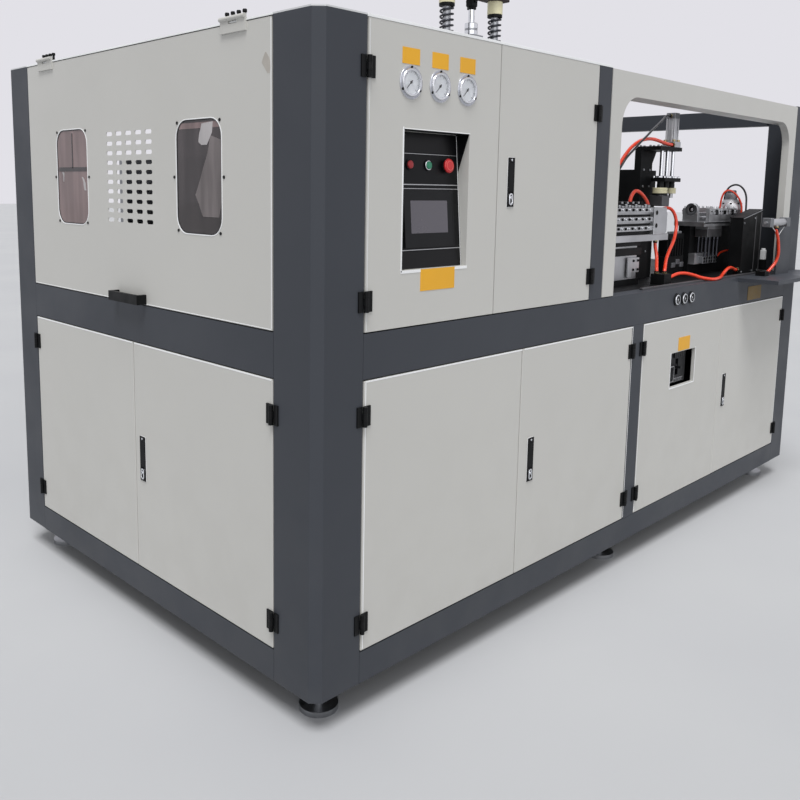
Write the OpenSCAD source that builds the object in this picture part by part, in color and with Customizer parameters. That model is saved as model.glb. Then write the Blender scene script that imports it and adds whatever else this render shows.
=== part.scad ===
/* [Frame] */
// Length between the outer faces of the end posts
body_l = 3200; // [3100:10:3500]
// Width between the front and rear faces
body_w = 1780; // [1700:10:2000]
// Clear height under the base rails
ground_h = 100; // [70:1:150]
// Width of a corner post seen from the front
corner_u = 160; // [130:1:200]
// Width of a corner post seen from the end
corner_v = 170; // [130:1:210]
// Depth of posts and rails behind the machine's faces
rail_d = 60; // [40:1:80]
// Wall of posts and rails
rail_wall = 4; // [2:0.5:6]
// Chamfer down the outer corner of each corner post
corner_chamfer = 25; // [10:1:40]
// Width of the posts between doors
post_w = 80; // [60:1:120]
// Height of the base rails
base_rail_h = 90; // [70:1:120]
// Height of the lower doors' opening
lower_h = 755; // [650:1:850]
// Height of the middle rails
mid_rail_h = 120; // [90:1:150]
// Height of the upper doors' opening
upper_h = 791; // [700:1:900]
// Height of the top rails
top_rail_h = 80; // [60:1:100]
// Depth of the lip that a door closes against
lip_h = 14; // [8:1:25]
// Thickness of the door lips
lip_t = 3; // [2:0.5:5]
// Thickness of the roof sheet
roof_t = 4; // [3:0.5:8]
// Thickness of the machine bed
bed_t = 20; // [12:1:30]
// How far the bed's top lies below the top of the middle rails
bed_drop = 2; // [1:1:15]

// Gap left between pieces that are fixed face to face
mount_clear = 0.3; // [0.2:0.1:0.5]

/* [Feet] */
// Radius of a foot's round pad
foot_r = 55; // [45:1:70]
// Thickness of a foot's pad
foot_pad_t = 16; // [10:1:25]
// Radius of a foot's threaded stem
foot_stem_r = 12; // [8:1:16]
// Radius of the anchor hole in a foot's pad
foot_hole_r = 7; // [5:0.5:9]
// Distance from the stem to the anchor hole
foot_hole_d = 38; // [34:1:42]
// Distance from the machine's faces to a foot's stem
foot_inset = 115; // [100:1:140]
// Side of the square plate that holds a foot
foot_plate_w = 130; // [112:1:150]
// Thickness of the plate that holds a foot
foot_plate_t = 12; // [8:1:20]
// Height of a foot's nut
foot_nut_h = 18; // [12:1:24]

/* [Doors] */
// Thickness of doors and panels
door_t = 20; // [16:1:30]
// Sheet thickness of doors and panels
skin_t = 2; // [1:0.5:3]
// Gap round each door
door_gap = 4; // [3:0.5:7]
// Width of an upper door's opening, one of a pair
upper_door_w = 540; // [500:1:600]
// Width across an open hinge
hinge_w = 48; // [40:1:60]
// Height of a hinge
hinge_h = 54; // [40:1:70]
// Thickness of a hinge leaf
hinge_leaf_t = 4; // [3:0.5:6]
// Radius of a hinge knuckle
hinge_knuckle_r = 6.5; // [5.5:0.5:8]
// Radius of a hinge pin
hinge_pin_r = 3; // [2:0.5:3.5]
// Running clearance round a hinge pin
pin_clear = 0.1; // [0.05:0.01:0.2]
// Clearance between hinge knuckles
knuckle_clear = 0.5; // [0.3:0.1:1]
// Middle of the left upper door's top hinge below the door's top
hinge_drop_left = 122; // [90:1:160]
// Middle of the right upper door's top hinge below the door's top
hinge_drop_right = 160; // [90:1:200]
// Middle of a lower door's top hinge below the door's top
hinge_drop_low = 97; // [70:1:140]
// Middle of a bottom hinge above the door's bottom
hinge_rise = 84; // [60:1:120]

/* [Locks] */
// Width of a lock's face plate
lock_w = 31; // [28:1:40]
// Height of a lock's face plate
lock_h = 146; // [130:1:180]
// Thickness of a lock's face plate
lock_face_t = 3; // [2:0.5:5]
// Width of a lock's body behind the sheet
lock_body_w = 26; // [24:1:28]
// Height of a lock's body behind the sheet
lock_body_h = 138; // [136:1:140]
// Depth of a lock's body behind the sheet
lock_body_d = 16; // [13:1:24]
// Clearance round a lock's body in the door
lock_clear = 0.5; // [0.2:0.1:1]
// Distance from the door's seam to the middle of the front locks
lock_inset = 64; // [50:1:90]
// Distance from the door's seam to the middle of the end lock
lock_inset_end = 48; // [40:1:90]
// Width of the flush lever in a lock
lever_w = 19; // [14:0.5:20]
// Length of the flush lever
lever_h = 86; // [70:1:90]
// Thickness of the flush lever
lever_t = 6; // [4:0.5:8]
// Clearance round the flush lever
lever_clear = 0.6; // [0.4:0.1:1]
// Radius of the lever's pivot pins
lever_pin_r = 1.8; // [1.5:0.1:2.2]
// Height of the lever's middle above the lock's middle
lever_rise = 15; // [12:1:16]
// Length of each pivot pin
lever_pin_l = 2; // [1.5:0.1:2.2]
// Depth of the lever's pocket
lever_pocket_d = 12; // [11:0.5:14]
// Lowering of the key barrel below the lock's middle
barrel_drop = 50; // [50:1:53]
// Radius of the key barrel's round ends
barrel_r = 9; // [7:0.5:10]
// Height of the key barrel
barrel_h = 35; // [30:1:36]
// How far the key barrel stands out of the face plate
barrel_out = 2; // [1:0.5:4]

/* [End flap] */
// Distance from the flap's middle to the middle of each window
window_off = 386; // [340:1:420]
// Width of a window's cut-out
window_w = 224; // [180:1:260]
// Height of a window's cut-out
window_h = 318; // [260:1:360]
// Corner radius of a window's cut-out
window_r = 50; // [20:1:80]
// Overlap of a pane behind the sheet
pane_lap = 20; // [15:1:30]
// Thickness of a pane
pane_t = 4; // [3:0.5:6]
// Radius of a window screw's head
window_screw_r = 4.5; // [3:0.5:6]
// Height of a window screw's head
window_screw_h = 2; // [1:0.5:4]
// Distance of the middle screws from a window's edge
window_screw_off = 11; // [8:1:15]
// Columns of ventilation slots
slot_columns = 5; // [3:1:7]
// Rows of ventilation slots
slot_rows = 10; // [6:1:14]
// Pitch of the slots across
slot_pitch_u = 60; // [50:1:70]
// Pitch of the slots up and down
slot_pitch_z = 30; // [24:1:36]
// Length of a slot
slot_l = 38; // [30:1:44]
// Width of a slot
slot_w = 13; // [8:1:18]
// Span of the flap's handle
handle_span = 178; // [140:1:220]
// How far the handle stands out of the flap
handle_out = 34; // [28:1:60]
// Thickness of the handle's bar
handle_bar = 10; // [8:1:16]
// Height of the handle's feet
handle_foot_h = 30; // [20:1:40]
// Length of a flap hinge
flap_hinge_l = 110; // [80:1:140]
// Radius of a flap hinge's barrel
flap_hinge_r = 6; // [5:0.5:8]
// Distance from the flap's side to the middle of its hinge
flap_hinge_inset = 160; // [120:1:220]
// Height of the flap hinge's leaf on the sheet
flap_leaf_h = 22; // [16:1:30]

/* [Control recess] */
// Distance from the left door's outer edge to the recess
recess_u = 137; // [120:1:150]
// Height of the recess above the door's bottom
recess_z = 156; // [130:1:180]
// Width of the recess
recess_w = 268; // [250:1:280]
// Height of the recess
recess_h = 370; // [350:1:390]
// Depth of the recess at its top
recess_d_top = 50; // [45:1:70]
// Depth of the recess at its bottom
recess_d_low = 20; // [16:1:30]
// Flange behind the control plate
recess_flange = 8; // [6:1:12]
// Clearance round the control plate
plate_clear = 1; // [0.5:0.5:2]
// Thickness of the control plate
plate_t = 3; // [2:0.5:5]
// Width of the touch screen unit
screen_w = 204; // [180:1:220]
// Height of the touch screen unit
screen_h = 158; // [140:1:165]
// Thickness of the touch screen's bezel
screen_t = 5; // [3:0.5:8]
// Width of the touch screen's body behind the plate
screen_body_w = 186; // [160:1:196]
// Height of the touch screen's body behind the plate
screen_body_h = 130; // [110:1:140]
// Depth of the touch screen's body behind the plate
screen_body_d = 34; // [25:1:45]
// Height of the touch screen's lower edge above the plate's lower edge
screen_z = 57; // [40:1:60]
// Height of the row of buttons above the plate's lower edge
button_z = 281; // [250:1:300]
// Distance of the middle button from the recess's middle
button_shift = 5; // [0:1:8]
// Pitch of the buttons
button_pitch = 75; // [60:1:76]
// Radius of a button's cap
button_r = 11; // [9:0.5:13]
// Wall of the collar round a button
collar_wall = 3.5; // [2:0.5:5]
// Height of the collar round a button
collar_h = 4; // [2:0.5:6]
// Clearance round a button's cap
button_clear = 0.4; // [0.3:0.1:0.8]
// Gap left between a pressed button and its collar
press_clear = 0.5; // [0.3:0.1:1]
// Radius of the emergency stop's mushroom
stop_r = 20; // [16:1:24]
// Thickness of the mushroom
stop_t = 10; // [6:1:14]
// Length of a button's stem behind the plate
stem_l = 20; // [14:1:30]
// Travel of a button
button_travel = 2.5; // [1:0.5:3.5]

/* [Gauges] */
// Pitch of the gauges
gauge_pitch = 115; // [100:1:130]
// Distance from the left door's outer edge to the first gauge
gauge_u = 158; // [130:1:180]
// Height of the gauges above the door's bottom
gauge_z = 645; // [600:1:680]
// Radius of a gauge's flange
gauge_flange_r = 43; // [38:1:48]
// Radius of a gauge's case
gauge_case_r = 34; // [28:1:36]
// Depth of a gauge's case behind the sheet
gauge_case_d = 32; // [24:1:40]
// How far a gauge's rim stands out of the door
gauge_rim = 6; // [4:0.5:10]
// Thickness of a gauge's flange
gauge_flange_t = 2.5; // [1.5:0.5:4]
// Radius of a gauge's dial
gauge_dial_r = 30; // [26:1:31]
// Length of a gauge's needle from its hub's middle
needle_l = 24; // [16:1:25]
// Radius of a needle's hub
needle_hub_r = 3.5; // [2.5:0.5:5]
// Radius of a needle's spindle
needle_pin_r = 1.2; // [0.8:0.1:1.6]
// Thickness of a needle
needle_t = 1.2; // [0.8:0.1:2]
// Height of a needle's front over the dial
needle_lift = 2.4; // [2.2:0.1:4]
// Depth of the spindle's bore in the dial
spindle_l = 4; // [3:0.5:6]
// Direction of the needles at rest, from straight up, clockwise
needle_rest = 225; // [200:1:250]
// Height of the yellow plates above the gauges
tag_rise = 66; // [66:1:80]
// Width of a yellow plate
tag_w = 66; // [50:1:80]
// Height of a yellow plate
tag_h = 41; // [30:1:50]
// Thickness of a plate or sign
tag_t = 1; // [0.5:0.5:2]
// Width of the sign under the recess
sign_w = 143; // [120:1:170]
// Distance of the sign from the recess's middle
sign_shift = 12; // [0:1:20]
// Height of the sign under the recess
sign_h = 60; // [50:1:90]

/* [Window] */
// Width of the fixed panel beside the window opening
leg_w = 76; // [60:1:100]
// Height of the panel above the window opening
brow_h = 82; // [70:1:84]
// Corner radius of the window opening
opening_r = 105; // [60:1:150]
// Depth of the flange folded round the window opening
opening_flange = 32; // [24:1:50]

/* [Rail fittings] */
// Distance from the machine's left end to the middle rail button
rail_button_u = 1960; // [1900:1:2050]
// Pitch of the rail buttons
rail_button_pitch = 63; // [50:1:80]
// Drop of the rail buttons below the top of the rail
rail_button_drop = 50; // [40:1:70]
// Radius of a rail button's cap
rail_button_r = 15; // [12:0.5:18]
// Width of the plate on the middle rail
rail_tag_w = 150; // [120:1:180]
// Height of the plate on the middle rail
rail_tag_h = 62; // [40:1:80]
// Drop of the plate below the top of the rail
rail_tag_drop = 48; // [30:1:55]
// Distance from the machine's right end to the plate's right edge
rail_tag_end = 448; // [380:1:520]
// Width of the cut-out in front of the main switch
switch_w = 216; // [180:1:240]
// Height of the cut-out in front of the main switch
switch_h = 143; // [120:1:170]
// Drop of the cut-out below the door's top
switch_drop = 148; // [130:1:170]
// Depth of the lip round the cut-out
switch_lip = 14; // [8:1:20]
// Height of the plate above the cut-out
switch_tag_h = 54; // [40:1:60]
// Width of the plate above the cut-out
switch_tag_w = 100; // [80:1:120]

/* [Electrics] */
// Distance of the mounting plate behind the machine's face
electrics_v = 130; // [120:1:160]
// Width of the mounting plate
electrics_w = 1150; // [900:10:1250]
// Height of the mounting plate
electrics_h = 860; // [820:10:880]
// Thickness of the mounting plate
electrics_t = 4; // [3:0.5:6]
// Number of motor drives on the mounting plate
drive_count = 3; // [1:1:3]
// Width of a motor drive with its gap
drive_w = 180; // [140:1:200]
// Gap between motor drives
drive_gap = 25; // [15:1:40]
// Height of a motor drive
drive_h = 220; // [160:1:240]
// Depth of a motor drive
drive_d = 62; // [50:1:66]
// Radius of the pillars that hold the mounting plate
spacer_r = 12; // [8:1:20]
// Width of the main switch
breaker_w = 150; // [120:1:170]
// Height of the main switch
breaker_h = 130; // [100:1:160]
// Clearance between the main switch and the door
breaker_clear = 12; // [8:1:20]
// Width of the main switch's lever
toggle_w = 24; // [16:1:30]
// Radius of the main switch lever's pivot barrel
toggle_r = 14; // [10:1:18]
// Length of the main switch's lever from its pivot
toggle_l = 34; // [28:1:40]

/* [Shelf] */
// Distance from the machine's left end to the shelf
shelf_u = 2484; // [2450:1:2560]
// How far the shelf stands out of the front
shelf_d = 174; // [120:1:220]
// Thickness of the shelf
shelf_t = 5; // [4:1:12]
// Depth of the shelf's folded edges
shelf_apron = 12; // [8:1:30]
// Width of the plate that carries the cylinder
bracket_w = 160; // [140:1:165]
// Distance from the shelf's left edge to that plate
bracket_u = 316; // [300:1:320]
// Thickness of that plate
bracket_t = 8; // [5:1:12]
// Distance from the machine's left end to the cylinder on the shelf
side_cyl_u = 2603; // [2590:1:2610]
// Length of the cylinder on the shelf
side_cyl_l = 232; // [225:1:250]
// Radius of the cylinder on the shelf
side_cyl_r = 17; // [15:1:20]
// Height of the cylinder above the shelf
side_cyl_z = 246; // [220:1:260]
// Distance of the cylinder in front of the machine's face
side_cyl_v = 60; // [50:1:80]
// Distance from the machine's left end to the hose block on the shelf
shelf_block_u = 2660; // [2640:1:2680]
// Height of the hose block on the shelf
shelf_block_h = 22; // [16:1:30]
// Length of the hose block on the shelf
shelf_block_l = 46; // [40:1:60]
// Step from the cylinder's caps down to its tube
side_cap_step = 3; // [1:0.5:5]

/* [Stretch unit] */
// Distance from the machine's left end to the stretch unit's middle
stretch_u = 1048; // [1000:1:1060]
// Distance from the machine's front to the blowing axis
stretch_v = 400; // [380:1:440]
// Distance between the guide pillars
pillar_pitch = 262; // [230:1:300]
// Radius of the guide pillars
pillar_r = 14; // [11:1:15]
// Height of the springs
spring_h = 173; // [130:1:200]
// Radius of a spring over its wire
spring_r = 25; // [24:0.5:26]
// Radius of a spring's wire
spring_wire_r = 3.5; // [2:0.5:4]
// Height of the flat seat under each end of a spring
spring_seat = 0.5; // [0.3:0.1:2]
// Turns of a spring
spring_turns = 9; // [5:1:11]
// Height of the black collar on a spring
collar_ring_h = 10; // [6:1:16]
// Height of the guide bushes
bush_h = 45; // [24:1:50]
// Radius of the guide bushes
bush_r = 27; // [26:1:34]
// Running clearance of bushes and rods
fit_clear = 0.1; // [0.05:0.01:0.2]
// Thickness of the moving plate
stretch_plate_t = 20; // [14:1:30]
// Depth of the moving plate
stretch_plate_d = 70; // [66:1:120]
// Overhang of the moving plate past the pillars
stretch_plate_over = 26; // [20:1:60]
// Thickness of the stretch unit's base
stretch_base_t = 12; // [8:1:20]
// Side of the stretch cylinder
stretch_cyl_w = 60; // [50:1:64]
// Radius of the stretch cylinder's gland
gland_r = 22; // [18:1:24]
// Height of the gland
gland_h = 40; // [30:1:60]
// Radius of the stretch rod
stretch_rod_r = 11; // [8:1:13]
// Width of the clevis on the stretch rod
clevis_w = 30; // [28:1:40]
// Height of the clevis
clevis_h = 37; // [24:1:44]
// Length of rod that shows between the gland and the clevis
stretch_show = 56; // [48:1:60]
// Height of the pillar's end above the moving plate
pillar_end = 26; // [16:1:40]
// Radius of a blow nozzle
nozzle_r = 12; // [9:0.5:13]
// Downward travel of the moving plate
stretch_travel = 45; // [30:1:46]
// Gap between the mould's top and the nozzles
nozzle_gap = 20; // [10:1:40]

/* [Clamp] */
// Width of the clamp's platens
platen_w = 420; // [360:1:480]
// Height of the clamp's platens
platen_h = 520; // [460:1:600]
// Thickness of the clamp's platens
platen_t = 50; // [40:1:70]
// Thickness of a mould half
mould_t = 150; // [110:1:160]
// Width of the mould
mould_w = 290; // [250:1:300]
// Height of the mould
mould_h = 360; // [300:1:400]
// Height of the mould above the bed
mould_z = 80; // [60:1:100]
// Gap between the mould halves when shut
mould_gap = 0.4; // [0.3:0.1:1]
// Radius of a bottle cavity
cavity_r = 38; // [30:1:45]
// Height of a bottle cavity
cavity_h = 230; // [180:1:260]
// Radius of a cavity's neck
cavity_neck_r = 14; // [10:1:18]
// Pitch of the two cavities
cavity_pitch = 130; // [110:1:140]
// Radius of the tie bars
tie_r = 22; // [16:1:28]
// Distance of the tie bars from a platen's edges
tie_inset = 34; // [32:1:40]
// Opening travel of the moving platen
clamp_travel = 130; // [80:1:150]
// Guided length of the clamp ram in its cylinder
ram_grip = 40; // [30:1:60]
// Radius of the clamp cylinder
clamp_cyl_r = 75; // [60:1:90]
// Radius of the clamp ram
ram_r = 35; // [25:1:45]

/* [Heating station] */
// Distance from the machine's left end to the heating station
heat_u = 340; // [300:1:400]
// Length of the heating station
heat_l = 2300; // [2000:10:2400]
// Distance from the machine's front to the heating station
heat_v = 1160; // [1120:1:1200]
// Width of the heating station
heat_w = 420; // [380:1:440]
// Height of the heating station's base
heat_base_h = 120; // [80:1:160]
// Height of the lamp housings
lamp_box_h = 357; // [300:1:400]
// Thickness of the lamp housings
lamp_box_t = 50; // [40:1:60]
// Rows of heating lamps
lamp_rows = 8; // [4:1:10]
// Radius of a heating lamp
lamp_r = 5; // [4:0.5:7]
// Number of preform mandrels
mandrel_count = 16; // [8:1:20]
// Radius of a mandrel
mandrel_r = 13; // [10:0.5:16]
// Height of a mandrel
mandrel_h = 60; // [40:1:90]

/* [Transfer] */
// Distance from the machine's left end to the lift's column
column_u = 2043; // [2030:1:2060]
// Width of the lift's column
column_w = 99; // [80:1:110]
// Depth of the lift's column
column_d = 30; // [20:1:40]
// Distance from the machine's front to the lift's column
column_v = 265; // [262:1:275]
// Height of the column's slanted gusset
gusset_h = 100; // [60:1:130]
// Height of the lift's fixed plate above the bed
lift_plate_z = 567; // [550:1:575]
// Thickness of the lift's plates
lift_plate_t = 16; // [12:1:20]
// Width of the lift's fixed plate
lift_plate_w = 193; // [185:1:210]
// Depth of the lift's fixed plate
lift_plate_d = 115; // [110:1:120]
// Distance of the lift cylinder from the fixed plate's right edge
lift_cyl_off = 36; // [30:1:40]
// Height of the lift cylinder
lift_cyl_h = 145; // [120:1:160]
// Radius of the lift cylinder's tube
lift_cyl_r = 20; // [17:1:24]
// Side of the lift cylinder's upper cap
lift_cap_w = 40; // [36:1:48]
// Side of the lift cylinder's foot
lift_foot_w = 56; // [50:1:60]
// Height of the lift cylinder's caps
lift_cap_h = 24; // [16:1:30]
// Radius of the guide rods
lift_rod_r = 8; // [6:0.5:9]
// Spacing of the guide rods
lift_rod_pitch = 50; // [44:1:50]
// Distance from the fixed plate's right edge to the nearest rod
lift_rod_off = 16; // [12:1:20]
// Clear height between the lift's plates at rest
lift_clear = 114; // [110:1:130]
// Travel of the lift
lift_travel = 60; // [40:1:70]
// Width of the lift's moving plate
head_w = 144; // [130:1:150]
// Depth of the lift's moving plate
head_d = 64; // [56:1:70]
// Radius of the short cylinders under the moving plate
hub_r = 14; // [10:1:18]
// Height of the short cylinders
hub_h = 26; // [20:1:36]
// Radius of the pale disc
disc_r = 31; // [24:1:31]
// Radius of the small disc beside it
small_disc_r = 21; // [16:1:24]
// Height of the pale disc
disc_h = 24; // [16:1:30]
// Side of the gripping head under the disc
grip_w = 62; // [50:1:70]
// Height of the gripping head
grip_h = 54; // [40:1:60]
// Distance from the machine's left end to the slide block
block_u = 1640; // [1600:1:1700]
// Length of the slide block
block_l = 430; // [380:1:435]
// Distance from the machine's front to the slide block and the beam
block_v = 150; // [140:1:160]
// Depth of the slide block
block_d = 108; // [90:1:112]
// Height of the slide block's underside above the bed
block_rise = 203; // [195:1:210]
// Height of the slide block
block_h = 110; // [90:1:112]
// Length of the slide block's end plate
block_end = 112; // [90:1:120]
// Set-back of the bars beside the end plate
block_step = 16; // [10:1:24]
// Thickness of the plate under the slide block
base_t = 26; // [16:1:28]
// Overhang of that plate past the slide block
base_over = 25; // [10:1:28]
// Height of the valve stack under the plate
valve_h = 100; // [80:1:120]
// Radius of the slide block's two bores
block_bore_r = 8; // [5:0.5:10]
// Distance from the machine's left end to the gripper beam
beam_u = 2435; // [2425:1:2450]
// Length of the gripper beam
beam_l = 505; // [480:1:520]
// Width of the gripper beam
beam_d = 143; // [130:1:150]
// Height of the beam's top above the bed
beam_z = 245; // [230:1:250]
// Thickness of the beam
beam_t = 20; // [14:1:26]
// Width of the bearing plate at the beam's end
bearing_w = 58; // [50:1:64]
// Height of the bearing plate
bearing_h = 84; // [70:1:90]
// Thickness of the bearing plate
bearing_t = 20; // [14:1:26]
// Distance from the beam's left end to the jaws
jaw_u = 65; // [60:1:80]
// Length of a gripper jaw
jaw_l = 295; // [260:1:310]
// Thickness of a gripper jaw
jaw_t = 16; // [12:1:20]
// Height of a gripper jaw
jaw_h = 60; // [40:1:70]
// Clearance between a closed jaw and the rail in the middle
jaw_stop = 7.5; // [5:0.5:9]
// Distance of the open jaws' outer faces from the beam's edges
jaw_edge = 8; // [5:1:10]
// Travel of a gripper jaw
jaw_travel = 25; // [10:1:28]
// Radius of the rods that guide the jaws
jaw_rod_r = 5; // [4:0.5:7]
// Radius of the dome on the beam
dome_r = 55; // [45:1:58]
// Height of the dome's straight part
dome_h = 55; // [40:1:70]
// Distance from the machine's left end to the valve box
box_u = 2645; // [2640:1:2670]
// Length of the valve box
box_l = 212; // [200:1:250]
// Distance from the machine's front to the valve box
box_v = 60; // [40:1:64]
// Depth of the valve box
box_d = 60; // [40:1:70]
// Height of the valve box at its low end
box_low_h = 262; // [220:1:275]
// Height of the valve box at its high end
box_high_h = 300; // [260:1:310]
// Height of the drive housing behind the lift
drive_box_h = 470; // [440:1:480]
// Height of the hose block on the bed
hose_block_h = 44; // [30:1:50]

/* [Hidden] */

$fn = 48;
over = 1;

// Heights above the floor
base_z = ground_h;
lower_z = base_z + base_rail_h;
mid_z = lower_z + lower_h;
upper_z = mid_z + mid_rail_h;
top_z = upper_z + upper_h;
bed_z = upper_z - bed_drop;
roof_z = top_z + roof_t;
top_rail_z = top_z - top_rail_h;

// Stations along the front, from the left end
face_u1 = body_l - corner_u;
lower_door_w = (body_l - 2 * corner_u - post_w) / 4;
seam_1 = corner_u + lower_door_w;
lower_post_u = corner_u + 2 * lower_door_w;
seam_3 = lower_post_u + post_w + lower_door_w;
upper_seam = corner_u + upper_door_w;
upper_post_u = corner_u + 2 * upper_door_w;
window_u = upper_post_u + post_w;
end_door_w = (body_w - 2 * corner_v) / 2;
end_seam = corner_v + end_door_w;

// The row's origin lies under the middle of the whole machine
plan_u = (body_l - handle_out) / 2;
plan_v = (body_w - shelf_d) / 2;

// Hinge and lock geometry
hinge_out = hinge_knuckle_r + knuckle_clear;
knuckle_h = hinge_h / 3;
frame_back = door_t + door_gap;
lever_top = lever_h / 2 + lever_rise;
lever_axis_z = lever_top - lever_t / 2 - 1;

colour_frame = [0.31, 0.33, 0.36];
colour_door = [0.77, 0.76, 0.74];
colour_black = [0.10, 0.10, 0.11];
colour_steel = [0.72, 0.73, 0.75];
colour_yellow = [0.93, 0.72, 0.15];
colour_orange = [0.86, 0.28, 0.15];

// Moves the machine so that its origin lies under its middle
module placed() translate([-plan_u, -plan_v, 0]) children();

// A view of the left end: x runs from the rear post to the front post, y runs inward
module on_end() translate([0, body_w, 0]) rotate([0, 0, -90]) children();

// The rear face, seen from behind: x runs from the right end to the left end
module on_rear() translate([body_l, body_w, 0]) rotate([0, 0, 180]) children();

// The right end, seen from outside: x runs from the front post to the rear post
module on_right() translate([body_l, 0, 0]) rotate([0, 0, 90]) children();

// A box with a wall all round and open ends along x
module tube_x(l, d, h)
    difference() {
        cube([l, d, h]);
        translate([-over, rail_wall, rail_wall])
            cube([l + 2 * over, d - 2 * rail_wall, h - 2 * rail_wall]);
    }

// A box with a wall all round and open ends along z
module tube_z(w, d, h)
    difference() {
        cube([w, d, h]);
        translate([rail_wall, rail_wall, -over])
            cube([w - 2 * rail_wall, d - 2 * rail_wall, h + 2 * over]);
    }

// A sheet folded back along its four edges
module tray(w, h, depth = door_t)
    difference() {
        cube([w, depth, h]);
        translate([skin_t, skin_t, skin_t])
            cube([w - 2 * skin_t, depth, h - 2 * skin_t]);
    }

// A round bar along y from y = 0
module rod_y(r, l) rotate([-90, 0, 0]) cylinder(r = r, h = l);

// A round bar along x from x = 0
module rod_x(r, l) rotate([0, 90, 0]) cylinder(r = r, h = l);

// A flat rounded rectangle about the origin
module rounded_2d(w, h, r) {
    square([w - 2 * r, h], center = true);
    square([w, h - 2 * r], center = true);
    for (x = [-1, 1], y = [-1, 1])
        translate([x * (w / 2 - r), y * (h / 2 - r)]) circle(r = r);
}

// A flat arch with a straight foot and two round upper corners
module arch_2d(w, h, r) {
    square([w, h - r]);
    translate([r, 0]) square([w - 2 * r, h]);
    for (x = [r, w - r])
        translate([x, h - r]) circle(r = r);
}

// Lays a flat shape on the x-z plane with its thickness along y
module upright(t) translate([0, t, 0]) rotate([90, 0, 0]) linear_extrude(t) children();

// Unit direction of a route at point i
function route_dir(p, i) =
    let (a = p[max(i - 1, 0)], b = p[min(i + 1, len(p) - 1)]) (b - a) / norm(b - a);

// A direction square to t, taken from reference r
function square_to(t, r) = let (s = r - t * (r * t)) s / norm(s);

// Reference directions carried along the route without twist
function carried(p, i, r) =
    let (s = square_to(route_dir(p, i), r)) i >= len(p) - 1 ? [s] : concat([s], carried(p, i + 1, s));

// A round tube swept along the points p
module swept_tube(p, r, sides) {
    first = abs(route_dir(p, 0)[2]) > 0.8 ? [1, 0, 0] : [0, 0, 1];
    ref = carried(p, 0, first);
    pts = [for (i = [0:len(p) - 1], k = [0:sides - 1])
        let (t = route_dir(p, i), n = ref[i], b = cross(t, n), a = 360 * k / sides)
        p[i] + r * (cos(a) * n + sin(a) * b)];
    last = (len(p) - 1) * sides;
    walls = [for (i = [0:len(p) - 2], k = [0:sides - 1], half = [0, 1])
        let (a = i * sides + k, b = i * sides + (k + 1) % sides)
        half == 0 ? [a, a + sides, b + sides] : [a, b + sides, b]];
    ends = [[for (k = [0:sides - 1]) k], [for (k = [sides - 1:-1:0]) last + k]];
    polyhedron(points = pts, faces = concat(walls, ends), convexity = 6);
}

// Frame

// Plan outline of a corner post, w inside its outer faces
function corner_outline(w) = let (c = corner_chamfer + w * (sqrt(2) - 1)) [
    [c, w], [corner_u - w, w], [corner_u - w, rail_d - w],
    [rail_d - w, rail_d - w], [rail_d - w, corner_v - w], [w, corner_v - w], [w, c]];

module corner_post()
    translate([0, 0, base_z])
        linear_extrude(top_z - base_z)
            difference() {
                polygon(corner_outline(0));
                polygon(corner_outline(rail_wall));
            }

module posts() color(colour_frame) placed() {
    corner_post();
    translate([body_l, 0, 0]) mirror([1, 0, 0]) corner_post();
    translate([0, body_w, 0]) mirror([0, 1, 0]) {
        corner_post();
        translate([body_l, 0, 0]) mirror([1, 0, 0]) corner_post();
    }
    for (v = [0, body_w - rail_d]) {
        translate([lower_post_u, v, lower_z]) tube_z(post_w, rail_d, lower_h);
        translate([upper_post_u, v, upper_z]) tube_z(post_w, rail_d, upper_h);
    }
}

// Lips that the doors between x0 and x1 close against, above z0 and below z1
module door_lips(x0, x1, z0, z1)
    for (z = [z0 - over, z1 - lip_h])
        translate([x0 + over, frame_back, z]) cube([x1 - x0 - 2 * over, lip_t, lip_h + over]);

// Rails of one long side, seen from its front
module long_rails() {
    span = body_l - 2 * corner_u;
    translate([corner_u, 0, base_z]) tube_x(span, rail_d, base_rail_h);
    translate([corner_u, 0, mid_z]) tube_x(span, rail_d, mid_rail_h);
    door_lips(corner_u, lower_post_u, lower_z, mid_z);
    door_lips(lower_post_u + post_w, face_u1, lower_z, mid_z);
}

// Top rails of one long side, behind the upper doors
module top_rails() {
    translate([corner_u, frame_back, top_rail_z])
        tube_x(upper_post_u - corner_u, rail_d, top_rail_h);
    translate([window_u, frame_back, top_rail_z])
        tube_x(face_u1 - window_u, rail_d, top_rail_h);
}

// Rails of one end, seen from outside
module end_rails() {
    span = body_w - 2 * corner_v;
    translate([corner_v, 0, base_z]) tube_x(span, rail_d, base_rail_h);
    translate([corner_v, 0, mid_z]) tube_x(span, rail_d, mid_rail_h);
    translate([corner_v, frame_back, top_rail_z]) tube_x(span, rail_d, top_rail_h);
}

// Plates inside the base rails that the feet screw into
module foot_plates()
    for (p = foot_places())
        translate([p[0], p[1], base_z])
            difference() {
                translate([-p[2] * foot_plate_shift, -p[3] * foot_plate_shift, foot_plate_t / 2])
                    cube([foot_plate_w, foot_plate_w, foot_plate_t], center = true);
                translate([0, 0, -over])
                    cylinder(r = foot_stem_r + fit_clear, h = foot_plate_t + 2 * over);
            }

// Plan positions of the feet, with the sides of the machine that they stand at
function foot_places() = [
    for (a = [-1:1], b = [-1, 1])
        [body_l / 2 + a * (body_l / 2 - foot_inset), body_w / 2 + b * (body_w / 2 - foot_inset), a, b]];

foot_plate_shift = rail_d + foot_plate_w / 2 - foot_inset;

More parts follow.
